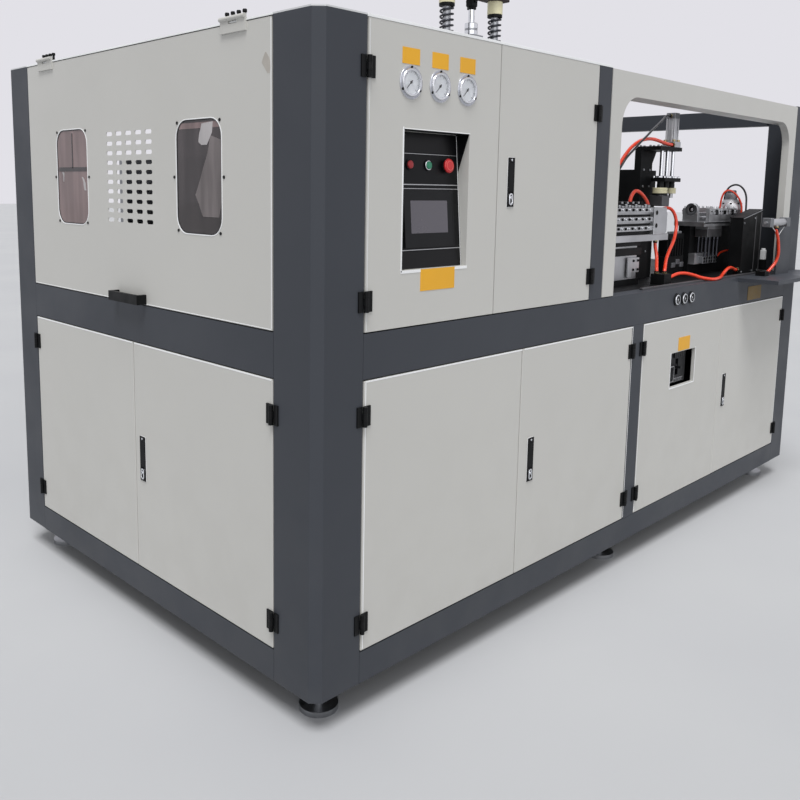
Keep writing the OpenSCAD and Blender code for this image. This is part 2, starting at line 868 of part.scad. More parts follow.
module frame_rails() color(colour_frame) placed() {
    difference() {
        union() {
            long_rails();
            translate([body_l - rail_tag_end - rail_tag_w, -tag_t, upper_z - rail_tag_drop - rail_tag_h])
                cube([rail_tag_w, tag_t + over, rail_tag_h]);
            for (k = [-1:1])
                translate([rail_button_u + k * rail_button_pitch, 0, upper_z - rail_button_drop])
                    translate([0, -collar_h, 0]) rod_y(rail_button_r + collar_wall, collar_h + over);
        }
        for (k = [-1:1])
            translate([rail_button_u + k * rail_button_pitch, -over - collar_h, upper_z - rail_button_drop])
                rod_y(rail_button_r + button_clear, collar_h + rail_wall + 2 * over);
    }
    on_rear() long_rails();
    top_rails();
    translate([0, body_w, 0]) mirror([0, 1, 0]) top_rails();
    on_end() end_rails();
    on_end() door_lips(corner_v, body_w - corner_v, lower_z, mid_z);
    on_right() end_rails();
    on_right() door_lips(corner_v, body_w - corner_v, lower_z, mid_z);
}

module foot(side) {
    difference() {
        cylinder(r = foot_r, h = foot_pad_t);
        translate([0, side * foot_hole_d, -over])
            cylinder(r = foot_hole_r, h = foot_pad_t + 2 * over);
    }
    cylinder(r = foot_stem_r, h = ground_h + foot_plate_t + foot_nut_h);
    translate([0, 0, ground_h + foot_plate_t])
        cylinder(r = foot_stem_r * 1.6, h = foot_nut_h, $fn = 6);
}

module levelling_feet() color(colour_steel) placed() {
    for (p = foot_places())
        translate([p[0], p[1], 0]) foot(-p[3]);
    foot_plates();
}

module bed_plate() color(colour_black) placed()
    translate([rail_d, rail_d, bed_z - bed_t])
        cube([body_l - 2 * rail_d, body_w - 2 * rail_d, bed_t]);

module roof_plate() color(colour_frame) placed()
    translate([0, 0, top_z])
        difference() {
            cube([window_u, body_w, roof_t]);
            for (v = [0, body_w])
                translate([0, v, -over]) rotate([0, 0, 45])
                    cube([corner_chamfer * sqrt(2), corner_chamfer * sqrt(2), 3 * roof_t], center = true);
            for (s = [-1, 1])
                translate([stretch_u + s * cavity_pitch / 2, stretch_v, -over])
                    cylinder(r = nozzle_r + fit_clear, h = roof_t + 2 * over);
        }

// Hinges

// Frame half of a hinge: its leaf lies towards -x, the door towards +x
module hinge_frame_half() {
    tab = hinge_knuckle_r + over;
    translate([-hinge_w / 2, hinge_out - hinge_leaf_t, -hinge_h / 2])
        cube([hinge_w / 2 - tab, hinge_leaf_t, hinge_h]);
    translate([-tab - over, 0, -knuckle_h / 2])
        cube([tab + over, hinge_out, knuckle_h]);
    translate([0, 0, -knuckle_h / 2]) cylinder(r = hinge_knuckle_r, h = knuckle_h);
    translate([0, 0, -hinge_h / 2]) cylinder(r = hinge_pin_r, h = hinge_h);
}

// Door half of a hinge: two knuckles with a running bore
module hinge_door_half() {
    tab = hinge_knuckle_r + over;
    part_h = knuckle_h - knuckle_clear;
    difference() {
        union() {
            translate([tab, hinge_out - hinge_leaf_t, -hinge_h / 2])
                cube([hinge_w / 2 - tab, hinge_leaf_t, hinge_h]);
            for (z = [-hinge_h / 2, hinge_h / 2 - part_h])
                translate([0, 0, z]) {
                    cylinder(r = hinge_knuckle_r, h = part_h);
                    cube([tab + over, hinge_out, part_h]);
                }
        }
        translate([0, 0, -hinge_h]) cylinder(r = hinge_pin_r + pin_clear, h = 2 * hinge_h);
    }
}

// Places a hinge at a door's edge: side is 1 where the door lies towards +x
module at_hinge(x, z, side)
    translate([x, -hinge_out, z]) mirror([side < 0 ? 1 : 0, 0, 0]) children();

// Heights of a door's two hinges
function hinge_heights(z0, h, drop) = [z0 + hinge_rise, z0 + h - drop];

// Hinge axes of the front doors: place, side and heights
front_hinges = [
    [corner_u, 1, hinge_heights(upper_z, upper_h, hinge_drop_left)],
    [upper_post_u, -1, hinge_heights(upper_z, upper_h, hinge_drop_right)],
    [corner_u, 1, hinge_heights(lower_z, lower_h, hinge_drop_low)],
    [lower_post_u, -1, hinge_heights(lower_z, lower_h, hinge_drop_low)],
    [lower_post_u + post_w, 1, hinge_heights(lower_z, lower_h, hinge_drop_low)],
    [face_u1, -1, hinge_heights(lower_z, lower_h, hinge_drop_low)]];
end_hinges = [
    [corner_v, 1, hinge_heights(lower_z, lower_h, hinge_drop_low)],
    [body_w - corner_v, -1, hinge_heights(lower_z, lower_h, hinge_drop_low)]];

// The door halves of one door's hinges
module door_hinges(spec)
    for (z = spec[2])
        at_hinge(spec[0] + spec[1] * door_gap / 2, z, spec[1]) hinge_door_half();

// Frame leaves of the flap's hinges, which lie on the roof
module flap_frame_leaf()
    at_flap_hinges() {
        third = flap_hinge_l / 3;
        translate([-third / 2, 0, 0]) rod_x(flap_hinge_r, third);
        translate([-third / 2, 0, -flap_hinge_r]) cube([third, flap_hinge_r + flap_leaf_h, hinge_leaf_t]);
        translate([-flap_hinge_l / 2, 0, 0]) rod_x(hinge_pin_r, flap_hinge_l);
    }

// Children on the axis of each flap hinge, as seen on the end face
module at_flap_hinges()
    for (s = [-1, 1])
        translate([body_w / 2 + s * (end_door_w - flap_hinge_inset),
            -flap_hinge_r - knuckle_clear, roof_z + flap_hinge_r])
            children();

module hinge_mounts() color(colour_black) placed() {
    for (h = front_hinges, z = h[2])
        at_hinge(h[0] + h[1] * door_gap / 2, z, h[1]) hinge_frame_half();
    on_end() {
        for (h = end_hinges, z = h[2])
            at_hinge(h[0] + h[1] * door_gap / 2, z, h[1]) hinge_frame_half();
        flap_frame_leaf();
    }
}

// Panels

// A fixed panel shaped as an upturned U round the window opening
module window_frame(u0) {
    w = face_u1 - u0 - 2 * door_gap;
    h = upper_h - 2 * door_gap;
    difference() {
        union() {
            tray(w, h, frame_back);
            translate([leg_w - skin_t, 0, 0])
                upright(opening_flange)
                    arch_2d(w - 2 * leg_w + 2 * skin_t, h - brow_h + skin_t, opening_r + skin_t);
        }
        translate([leg_w, -over, -over])
            upright(opening_flange + 2 * over)
                arch_2d(w - 2 * leg_w, h - brow_h + over, opening_r);
    }
}

module window_panel() color(colour_door) placed()
    translate([window_u + door_gap, 0, upper_z + door_gap]) window_frame(window_u);

// A plain panel in the opening from x0 to x1 and z0 up
module plain_panel(x0, x1, z0, h)
    translate([x0 + door_gap, 0, z0 + door_gap])
        tray(x1 - x0 - 2 * door_gap, h - 2 * door_gap, frame_back);

module cladding_panels() color(colour_door) placed() {
    on_rear() {
        plain_panel(corner_u, body_l - lower_post_u - post_w, lower_z, lower_h);
        plain_panel(body_l - lower_post_u, face_u1, lower_z, lower_h);
    }
    translate([0, body_w, 0]) mirror([0, 1, 0])
        translate([window_u + door_gap, 0, upper_z + door_gap]) window_frame(window_u);
    on_right() plain_panel(corner_v, body_w - corner_v, lower_z, lower_h);
}

// End flap

flap_w = 2 * (end_door_w - door_gap);
flap_h = upper_h - 2 * door_gap;
flap_top_z = upper_z + door_gap + flap_h;
flap_mid_z = upper_z + upper_h / 2;

// Children at the middle of each window, on the end face
module at_windows()
    for (s = [-1, 1]) translate([body_w / 2 + s * window_off, 0, flap_mid_z]) children();

// One ventilation slot
module slot_2d() {
    square([slot_l - slot_w, slot_w], center = true);
    for (s = [-1, 1]) translate([s * (slot_l - slot_w) / 2, 0]) circle(r = slot_w / 2, $fn = 24);
}

module slot_grid()
    for (i = [0:slot_columns - 1], k = [0:slot_rows - 1])
        translate([(i - (slot_columns - 1) / 2) * slot_pitch_u, (k - (slot_rows - 1) / 2) * slot_pitch_z])
            slot_2d();

module end_flap() color(colour_door) placed() on_end()
    difference() {
        translate([corner_v + door_gap, 0, upper_z + door_gap]) tray(flap_w, flap_h);
        translate([0, -over, 0]) {
            at_windows() upright(skin_t + 2 * over) rounded_2d(window_w, window_h, window_r);
            translate([body_w / 2, 0, flap_mid_z]) upright(skin_t + 2 * over) slot_grid();
        }
    }

module flap_panes() color([0.16, 0.12, 0.10, 0.6]) placed() on_end()
    translate([0, skin_t, 0])
        at_windows() upright(pane_t)
            rounded_2d(window_w + 2 * pane_lap, window_h + 2 * pane_lap, window_r + pane_lap / 2);

// Heads of the six screws round a window
module window_screws() {
    corner = window_r * (1 - 1 / sqrt(2)) - window_screw_off / sqrt(2);
    for (s = [-1, 1]) {
        for (t = [-1, 1])
            translate([s * (window_w / 2 - corner), -window_screw_h, t * (window_h / 2 - corner)])
                rod_y(window_screw_r, window_screw_h);
        translate([s * (window_w / 2 + window_screw_off), -window_screw_h, 0])
            rod_y(window_screw_r, window_screw_h);
    }
}

// The handle straddles the flap's lower edge, so a hand can reach under it
module flap_handle()
    translate([body_w / 2 - handle_span / 2, -handle_out, upper_z + door_gap + 2]) {
        cube([handle_span, handle_bar, handle_foot_h]);
        for (x = [0, handle_span - handle_bar])
            translate([x, 0, 0]) cube([handle_bar, handle_out, handle_foot_h]);
    }

// Flap halves of the two top hinges
module flap_leaves()
    at_flap_hinges() {
        third = flap_hinge_l / 3;
        sheet_top = flap_top_z - roof_z - flap_hinge_r;
        difference() {
            union() {
                for (k = [-1, 1])
                    translate([k * third - third / 2 + knuckle_clear, 0, 0]) {
                        rod_x(flap_hinge_r, third - 2 * knuckle_clear);
                        translate([0, 0, sheet_top - over])
                            cube([third - 2 * knuckle_clear, flap_hinge_r, over - sheet_top]);
                    }
                translate([-flap_hinge_l / 2 + knuckle_clear, 0, sheet_top - flap_leaf_h])
                    cube([flap_hinge_l - 2 * knuckle_clear, flap_hinge_r + knuckle_clear, flap_leaf_h]);
            }
            translate([-flap_hinge_l, 0, 0]) rod_x(hinge_pin_r + pin_clear, 2 * flap_hinge_l);
        }
    }

module flap_fittings() color(colour_black) placed() on_end() {
    at_windows() window_screws();
    flap_handle();
    flap_leaves();
}

// Doors

// A leaf in the opening from x0 to x1; side 1 puts its hinges at x0
module door_leaf(x0, x1, z0, h, side) {
    near = side > 0 ? door_gap : door_gap / 2;
    far = side > 0 ? door_gap / 2 : door_gap;
    translate([x0 + near, 0, z0 + door_gap])
        tray(x1 - x0 - near - far, h - 2 * door_gap);
}

// Room for a lock's body in a door
module lock_cut(x, z)
    translate([x - lock_body_w / 2 - lock_clear, -over, z - lock_body_h / 2 - lock_clear])
        cube([lock_body_w + 2 * lock_clear, skin_t + 2 * over, lock_body_h + 2 * lock_clear]);

// A recessed lock with its key barrel and the pocket for its lever
module lock_body(x, z)
    translate([x, 0, z]) {
        pocket_h = lever_h + 4 * lever_clear + 2;
        difference() {
            union() {
                translate([-lock_w / 2, -lock_face_t, -lock_h / 2]) cube([lock_w, lock_face_t, lock_h]);
                translate([-lock_body_w / 2, -over / 2, -lock_body_h / 2])
                    cube([lock_body_w, lock_body_d + over / 2, lock_body_h]);
            }
            translate([-lever_w / 2 - lever_clear, -lock_face_t - over,
                lever_top - pocket_h + 2 * lever_clear])
                cube([lever_w + 2 * lever_clear, lever_pocket_d + lock_face_t + over, pocket_h]);
            translate([-lever_w / 2 - lever_clear - lever_pin_l, 0, lever_axis_z])
                rod_x(lever_pin_r + pin_clear, lever_w + 2 * lever_clear + 2 * lever_pin_l);
        }
        translate([0, -lock_face_t - barrel_out, -barrel_drop])
            upright(barrel_out + over) rounded_2d(2 * barrel_r, barrel_h, barrel_r - over / 10);
    }

// The flush lever of a lock, on two pivot pins
module lock_lever(x, z)
    translate([x, 0, z]) {
        translate([-lever_w / 2, -lever_t / 2, lever_top - lever_h]) cube([lever_w, lever_t, lever_h]);
        translate([-lever_w / 2 - lever_pin_l, 0, lever_axis_z])
            rod_x(lever_pin_r, lever_w + 2 * lever_pin_l);
    }

// Middles of the locks, along their own face
upper_lock = [upper_seam + lock_inset, upper_z + upper_h / 2];
lower_lock_2 = [seam_1 + lock_inset, lower_z + lower_h / 2];
lower_lock_4 = [seam_3 + lock_inset, lower_z + lower_h / 2];
end_lock = [end_seam + lock_inset_end, lower_z + lower_h / 2];

// The recess' cavity seen from the side, grown by w
module recess_side(w)
    polygon([[-over, -w], [recess_d_low + w, -w], [recess_d_top + w, recess_h + w], [-over, recess_h + w]]);

// Puts a side outline in place and gives it width
module recess_block(x, width) translate([x, 0, 0]) rotate([90, 0, 90]) linear_extrude(width) children();

// Children in the recess' own place, from its lower left corner
module at_recess() translate([corner_u + recess_u, 0, upper_z + recess_z]) children();

// Children on the control plate's back plane, leaning with it
recess_tilt = atan((recess_d_top - recess_d_low) / recess_h);
module on_plate() at_recess() translate([0, recess_d_low, 0]) rotate([-recess_tilt, 0, 0]) children();

gauge_places = [for (i = [0:2]) [corner_u + gauge_u + i * gauge_pitch, upper_z + gauge_z]];

module upper_door_left() color(colour_door) placed()
    difference() {
        union() {
            door_leaf(corner_u, upper_seam, upper_z, upper_h, 1);
            at_recess() intersection() {
                recess_block(-skin_t, recess_w + 2 * skin_t) recess_side(skin_t);
                translate([-recess_w, 0, -recess_h]) cube(3 * recess_h);
            }
        }
        at_recess() recess_block(0, recess_w) recess_side(0);
        on_plate() translate([recess_flange, -over, recess_flange])
            cube([recess_w - 2 * recess_flange, recess_d_top, recess_h - 2 * recess_flange]);
        for (g = gauge_places)
            translate([g[0], -over, g[1]]) rod_y(gauge_case_r + lock_clear, skin_t + 2 * over);
    }

module upper_door_left_hinges() color(colour_black) placed() door_hinges(front_hinges[0]);

button_out = button_travel + press_clear;
button_places = [for (k = [-1:1]) [recess_w / 2 + button_shift + k * button_pitch, button_z]];

module control_plate() color(colour_black) placed() on_plate() {
    lean = recess_h / cos(recess_tilt);
    difference() {
        union() {
            translate([plate_clear, -plate_t, plate_clear])
                cube([recess_w - 2 * plate_clear, plate_t, lean - plate_clear - plate_t]);
            for (b = button_places)
                translate([b[0], -plate_t - collar_h, b[1]]) rod_y(button_r + collar_wall, collar_h + over);
        }
        for (b = button_places)
            translate([b[0], -plate_t - collar_h - over, b[1]])
                rod_y(button_r + button_clear, plate_t + collar_h + 2 * over);
        translate([(recess_w - screen_body_w) / 2 - lock_clear, -plate_t - over,
            screen_z + (screen_h - screen_body_h) / 2 - lock_clear])
            cube([screen_body_w + 2 * lock_clear, plate_t + 2 * over, screen_body_h + 2 * lock_clear]);
    }
}

module touch_screen() color([0.16, 0.16, 0.18]) placed() on_plate() {
    translate([(recess_w - screen_w) / 2, -plate_t - screen_t, screen_z])
        cube([screen_w, screen_t, screen_h]);
    translate([(recess_w - screen_body_w) / 2, -plate_t - over, screen_z + (screen_h - screen_body_h) / 2])
        cube([screen_body_w, plate_t + over + screen_body_d, screen_body_h]);
}

// A round push button: its cap, and a stem behind the plate
module push_button(place)
    translate([place[0], -plate_t - collar_h - button_out, place[1]])
        rod_y(button_r, plate_t + collar_h + button_out + stem_l);

module red_button() color("crimson") placed() on_plate() push_button(button_places[0]);
module green_button() color("seagreen") placed() on_plate() push_button(button_places[1]);
module emergency_stop() color("red") placed() on_plate() {
    push_button(button_places[2]);
    translate([button_places[2][0], -plate_t - collar_h - button_out - stop_t, button_places[2][1]])
        rod_y(stop_r, stop_t);
    translate([button_places[2][0], -plate_t - collar_h - button_out - stop_t / 2, button_places[2][1]])
        rod_y(button_r - over, stop_t);
}

// A gauge: flange and rim in front of the door, case behind it, dial inside
module gauge()
    difference() {
        union() {
            translate([0, -gauge_flange_t, 0]) rod_y(gauge_flange_r, gauge_flange_t);
            translate([0, -gauge_rim, 0]) rod_y(gauge_case_r, gauge_rim + gauge_case_d);
            translate([0, gauge_case_d - over, 0]) rod_y(gauge_case_r / 3, gauge_case_r / 2);
        }
        translate([0, -gauge_rim - over, 0]) rod_y(gauge_dial_r, gauge_rim + over);
        translate([0, -over, 0]) rod_y(needle_pin_r + pin_clear, spindle_l + over);
    }

module gauge_bodies() color(colour_steel) placed()
    for (g = gauge_places) translate([g[0], 0, g[1]]) gauge();

// A needle on its spindle, pointing to the start of its scale
module gauge_needle(g)
    translate([g[0], 0, g[1]]) {
        translate([0, -needle_lift, 0]) {
            rod_y(needle_pin_r, needle_lift + spindle_l - knuckle_clear);
            rod_y(needle_hub_r, needle_t);
            rotate([0, needle_rest, 0]) upright(needle_t)
                polygon([[-needle_t, -2 * needle_hub_r], [needle_t, -2 * needle_hub_r],
                    [needle_t / 3, needle_l], [-needle_t / 3, needle_l]]);
        }
    }

module gauge_needle_1() color(colour_black) placed() gauge_needle(gauge_places[0]);
module gauge_needle_2() color(colour_black) placed() gauge_needle(gauge_places[1]);
module gauge_needle_3() color(colour_black) placed() gauge_needle(gauge_places[2]);

module yellow_plates() color(colour_yellow) placed() {
    for (g = gauge_places)
        translate([g[0] - tag_w / 2, -tag_t, g[1] + tag_rise - tag_h / 2]) cube([tag_w, tag_t, tag_h]);
    at_recess() translate([(recess_w - sign_w) / 2 + sign_shift, -tag_t, -sign_h])
        cube([sign_w, tag_t, sign_h]);
}

module upper_door_right() color(colour_door) placed()
    difference() {
        door_leaf(upper_seam, upper_post_u, upper_z, upper_h, -1);
        lock_cut(upper_lock[0], upper_lock[1]);
    }

module upper_door_right_fittings() color(colour_black) placed() {
    door_hinges(front_hinges[1]);
    lock_body(upper_lock[0], upper_lock[1]);
}

module upper_lock_lever() color(colour_black) placed() lock_lever(upper_lock[0], upper_lock[1]);

module lower_door_1() color(colour_door) placed() door_leaf(corner_u, seam_1, lower_z, lower_h, 1);
module lower_door_1_hinges() color(colour_black) placed() door_hinges(front_hinges[2]);

module lower_door_2() color(colour_door) placed()
    difference() {
        door_leaf(seam_1, lower_post_u, lower_z, lower_h, -1);
        lock_cut(lower_lock_2[0], lower_lock_2[1]);
    }

module lower_door_2_fittings() color(colour_black) placed() {
    door_hinges(front_hinges[3]);
    lock_body(lower_lock_2[0], lower_lock_2[1]);
}

module lower_door_2_lever() color(colour_black) placed() lock_lever(lower_lock_2[0], lower_lock_2[1]);

// The cut-out before the main switch lies in the middle of the third door
switch_u = (lower_post_u + post_w + seam_3) / 2;
switch_z = mid_z - switch_drop - switch_h;

module lower_door_3() color(colour_door) placed()
    difference() {
        union() {
            door_leaf(lower_post_u + post_w, seam_3, lower_z, lower_h, 1);
            translate([switch_u - switch_w / 2 - skin_t, 0, switch_z - skin_t])
                cube([switch_w + 2 * skin_t, switch_lip, switch_h + 2 * skin_t]);
            translate([switch_u - switch_tag_w / 2, -tag_t, switch_z + switch_h + 2 * skin_t])
                cube([switch_tag_w, tag_t + skin_t / 2, switch_tag_h]);
        }
        translate([switch_u - switch_w / 2, -over, switch_z])
            cube([switch_w, switch_lip + 2 * over, switch_h]);
    }

module lower_door_3_hinges() color(colour_black) placed() door_hinges(front_hinges[4]);

module lower_door_4() color(colour_door) placed()
    difference() {
        door_leaf(seam_3, face_u1, lower_z, lower_h, -1);
        lock_cut(lower_lock_4[0], lower_lock_4[1]);
    }

module lower_door_4_fittings() color(colour_black) placed() {
    door_hinges(front_hinges[5]);
    lock_body(lower_lock_4[0], lower_lock_4[1]);
}

module lower_door_4_lever() color(colour_black) placed() lock_lever(lower_lock_4[0], lower_lock_4[1]);

module end_door_left() color(colour_door) placed() on_end()
    door_leaf(corner_v, end_seam, lower_z, lower_h, 1);
module end_door_left_hinges() color(colour_black) placed() on_end() door_hinges(end_hinges[0]);

module end_door_right() color(colour_door) placed() on_end()
    difference() {
        door_leaf(end_seam, body_w - corner_v, lower_z, lower_h, -1);
        lock_cut(end_lock[0], end_lock[1]);
    }

module end_door_right_fittings() color(colour_black) placed() on_end() {
    door_hinges(end_hinges[1]);
    lock_body(end_lock[0], end_lock[1]);
}

module end_door_lever() color(colour_black) placed() on_end() lock_lever(end_lock[0], end_lock[1]);

// Electrics

breaker_d = electrics_v - switch_lip - breaker_clear - mount_clear;
breaker_z = switch_z + (switch_h - breaker_h) / 2;
toggle_v = electrics_v - mount_clear - breaker_d;
electrics_z = base_z + base_rail_h / 2 - spacer_r;

module electrics() color([0.22, 0.23, 0.25]) placed() {
    u0 = switch_u - electrics_w / 2;
    translate([u0, electrics_v, electrics_z]) cube([electrics_w, electrics_t, electrics_h]);
    for (x = [u0 + 2 * spacer_r, u0 + electrics_w - 2 * spacer_r],
        z = [base_z + base_rail_h / 2, mid_z + mid_rail_h / 4])
        translate([x, rail_d, z]) rod_y(spacer_r, electrics_v - rail_d - mount_clear);
    difference() {
        translate([switch_u - breaker_w / 2, toggle_v, breaker_z]) cube([breaker_w, breaker_d, breaker_h]);
        translate([switch_u - toggle_w / 2 - lever_clear, toggle_v - over,
            breaker_z + breaker_h / 2 - toggle_l])
            cube([toggle_w + 2 * lever_clear, toggle_r + over + toggle_l / 2, 2 * toggle_l]);
        translate([switch_u - toggle_w, toggle_v + toggle_r, breaker_z + breaker_h / 2])
            rod_x(lever_pin_r * 2 + pin_clear, 2 * toggle_w);
    }
    for (i = [0:drive_count - 1])
        translate([u0 + (i + 1) * drive_w, electrics_v - mount_clear - drive_d,
            electrics_z + electrics_h / 6])
            cube([drive_w - drive_gap, drive_d, drive_h]);
    for (i = [0:2 * drive_count - 1])
        translate([u0 + (i / 2 + 1) * drive_w, electrics_v - mount_clear - drive_d,
            electrics_z + electrics_h * 2 / 3])
            cube([drive_w / 2 - drive_gap, drive_d, drive_h / 2]);
}

module main_switch_lever() color(colour_black) placed()
    translate([switch_u - toggle_w / 2, toggle_v + toggle_r, breaker_z + breaker_h / 2]) {
        rod_x(toggle_r - lever_clear, toggle_w);
        translate([-toggle_w / 2 + lever_clear, 0, 0])
            rod_x(lever_pin_r * 2, 2 * toggle_w - 2 * lever_clear);
        translate([toggle_w / 4, -toggle_l, -toggle_r / 3]) cube([toggle_w / 2, toggle_l, toggle_r * 2 / 3]);
    }

// Buttons on the middle rail

module rail_button(k)
    translate([rail_button_u + k * rail_button_pitch, -collar_h - button_out, upper_z - rail_button_drop])
        rod_y(rail_button_r, collar_h + button_out + rail_wall + stem_l);

module rail_button_1() color(colour_black) placed() rail_button(-1);
module rail_button_2() color(colour_black) placed() rail_button(0);
module rail_button_3() color(colour_black) placed() rail_button(1);

// Shelf

bracket_v = side_cyl_r - side_cyl_v;
shelf_l = body_l - shelf_u - corner_chamfer;

// The shelf hangs on the rail's face and carries the plate that holds the side cylinder
module shelf() color(colour_frame) placed()
    translate([shelf_u, 0, upper_z - shelf_t]) {
        translate([0, -shelf_d, 0]) cube([shelf_l, shelf_d, shelf_t]);
        for (v = [-shelf_d, -shelf_t])
            translate([0, v, -shelf_apron]) cube([shelf_l, shelf_t, shelf_apron + over]);
        for (x = [0, shelf_l - shelf_t])
            translate([x, -shelf_d, -shelf_apron]) cube([shelf_t, shelf_d, shelf_apron + over]);
        translate([bracket_u, bracket_v, 0])
            cube([bracket_w, bracket_t, side_cyl_z + shelf_t]);
        translate([bracket_u + bracket_w - bracket_t, bracket_v, 0])
            cube([bracket_t, -bracket_v, side_cyl_z / 2]);
    }

// The side cylinder with its square caps, its rod and its port
module shelf_cylinder() color(colour_steel) placed()
    translate([side_cyl_u, -side_cyl_v, upper_z + side_cyl_z]) {
        cap = 2 * side_cyl_r;
        translate([side_cap_step, 0, 0]) rod_x(side_cyl_r - side_cap_step, side_cyl_l - 2 * side_cap_step);
        for (x = [0, side_cyl_l - cap])
            translate([x, -side_cyl_r, -side_cyl_r]) cube([cap, cap, cap]);
        translate([-cap / 2, 0, 0]) rod_x(side_cyl_r / 3, cap);
        translate([side_cyl_l / 2, 0, -side_cyl_r - side_cap_step])
            cylinder(r = side_cyl_r / 2, h = side_cyl_r);
    }

// Stretch unit

stretch_base_z = roof_z + stretch_base_t;
collar_z = stretch_base_z + spring_h;
stretch_plate_z = collar_z + collar_ring_h + bush_h;
clevis_z = stretch_plate_z - clevis_h;
gland_z = clevis_z - stretch_show - gland_h;
rod_low_z = clevis_z - stretch_show - gland_h / 2;
nozzle_low_z = bed_z + mould_z + mould_h + nozzle_gap;

// Children on the axis of each guide pillar
module at_pillars()
    for (s = [-1, 1]) translate([stretch_u + s * pillar_pitch / 2, stretch_v, 0]) children();

module stretch_base() color(colour_steel) placed() {
    half = pillar_pitch / 2 + bush_r;
    translate([stretch_u - half, stretch_v - stretch_plate_d / 2, roof_z])
        cube([2 * half, stretch_plate_d, stretch_base_t]);
    at_pillars()
        translate([0, 0, roof_z + over])
            cylinder(r = pillar_r, h = stretch_plate_z + stretch_plate_t + pillar_end - roof_z - over);
    translate([stretch_u, stretch_v, 0])
        difference() {
            union() {
                translate([-stretch_cyl_w / 2, -stretch_cyl_w / 2, stretch_base_z - over])
                    cube([stretch_cyl_w, stretch_cyl_w, gland_z - stretch_base_z + over]);
                translate([0, 0, gland_z - over]) cylinder(r = gland_r, h = gland_h + over);
            }
            translate([0, 0, rod_low_z - stretch_travel - 2 * over])
                cylinder(r = stretch_rod_r + fit_clear, h = gland_h + stretch_travel + 2 * over);
        }
    for (s = [-1, 1])
        translate([stretch_u + s * cavity_pitch / 2, stretch_v, nozzle_low_z])
            cylinder(r = nozzle_r, h = roof_z + over - nozzle_low_z);
}

// Centre line of a spring between its seat and its collar
function spring_line(turns, steps) = [for (i = [0:turns * steps])
    let (a = 360 * i / steps, r = spring_r - spring_wire_r, low = spring_wire_r + spring_seat)
    [r * cos(a), r * sin(a), low + i / (turns * steps) * (spring_h - 2 * low)]];

module stretch_springs() color([0.25, 0.25, 0.27]) placed()
    at_pillars()
        translate([0, 0, stretch_base_z]) swept_tube(spring_line(spring_turns, 14), spring_wire_r, 6);

module stretch_plate() color([0.20, 0.10, 0.09]) placed() {
    half = pillar_pitch / 2 + stretch_plate_over + pillar_r;
    difference() {
        union() {
            translate([stretch_u - half, stretch_v - stretch_plate_d / 2, stretch_plate_z])
                cube([2 * half, stretch_plate_d, stretch_plate_t]);
            at_pillars() {
                translate([0, 0, collar_z + collar_ring_h]) cylinder(r = bush_r, h = bush_h + over);
                translate([0, 0, collar_z]) cylinder(r = bush_r - over, h = collar_ring_h + over);
            }
        }
        at_pillars()
            translate([0, 0, collar_z - over])
                cylinder(r = pillar_r + fit_clear,
                    h = stretch_plate_z + stretch_plate_t - collar_z + 2 * over);
    }
    translate([stretch_u, stretch_v, 0]) {
        translate([-clevis_w / 2, -clevis_w / 2, clevis_z]) cube([clevis_w, clevis_w, clevis_h + over]);
        translate([0, 0, rod_low_z]) cylinder(r = stretch_rod_r, h = clevis_z - rod_low_z + over);
    }
}

// Clamp

mould_v = stretch_v - mould_t;
moving_v = stretch_v + mould_t;
clamp_cyl_v = moving_v + platen_t + clamp_travel + ram_grip / 2;
clamp_cyl_l = clamp_travel + 2 * ram_grip;

// Children on each tie bar's axis
module at_ties()
    for (x = [-1, 1], z = [tie_inset, platen_h - tie_inset])
        translate([stretch_u + x * (platen_w / 2 - tie_inset), 0, bed_z + z]) children();

// A platen whose front face lies at v, lifted off the bed by lift
module platen(v, lift)
    translate([stretch_u - platen_w / 2, v, bed_z + lift]) cube([platen_w, platen_t, platen_h - lift]);

// One cavity: body, shoulder and neck, up to the mould's top
module cavity() {
    cylinder(r = cavity_r, h = cavity_h);
    translate([0, 0, cavity_h]) cylinder(r1 = cavity_r, r2 = cavity_neck_r, h = cavity_r - cavity_neck_r);
    translate([0, 0, cavity_h]) cylinder(r = cavity_neck_r, h = mould_h);
}

// A mould half between v0 and v1
module mould_half(v0, v1)
    difference() {
        translate([stretch_u - mould_w / 2, v0, bed_z + mould_z]) cube([mould_w, v1 - v0, mould_h]);
        for (s = [-1, 1])
            translate([stretch_u + s * cavity_pitch / 2, stretch_v, bed_z + mould_z + cavity_neck_r])
                cavity();
    }

module clamp_frame() color(colour_steel) placed() {
    platen(mould_v - platen_t, 0);
    mould_half(mould_v - over, stretch_v - mould_gap / 2);
    platen(clamp_cyl_v + clamp_cyl_l, 0);
    at_ties() translate([0, mould_v - over, 0]) rod_y(tie_r, clamp_cyl_v + clamp_cyl_l - mould_v + 2 * over);
    difference() {
        translate([stretch_u, clamp_cyl_v, bed_z + platen_h / 2]) rod_y(clamp_cyl_r, clamp_cyl_l + over);
        translate([stretch_u, clamp_cyl_v - over, bed_z + platen_h / 2])
            rod_y(ram_r + fit_clear, clamp_cyl_l + over);
    }
}

module moving_platen() color([0.60, 0.61, 0.63]) placed() {
    difference() {
        platen(moving_v, bed_drop);
        at_ties() translate([0, moving_v - over, 0]) rod_y(tie_r + fit_clear, platen_t + 2 * over);
    }
    mould_half(stretch_v + mould_gap / 2, moving_v + over);
    translate([stretch_u, moving_v + platen_t - over, bed_z + platen_h / 2])
        rod_y(ram_r, clamp_cyl_v + ram_grip - moving_v - platen_t + over);
}

// Heating station

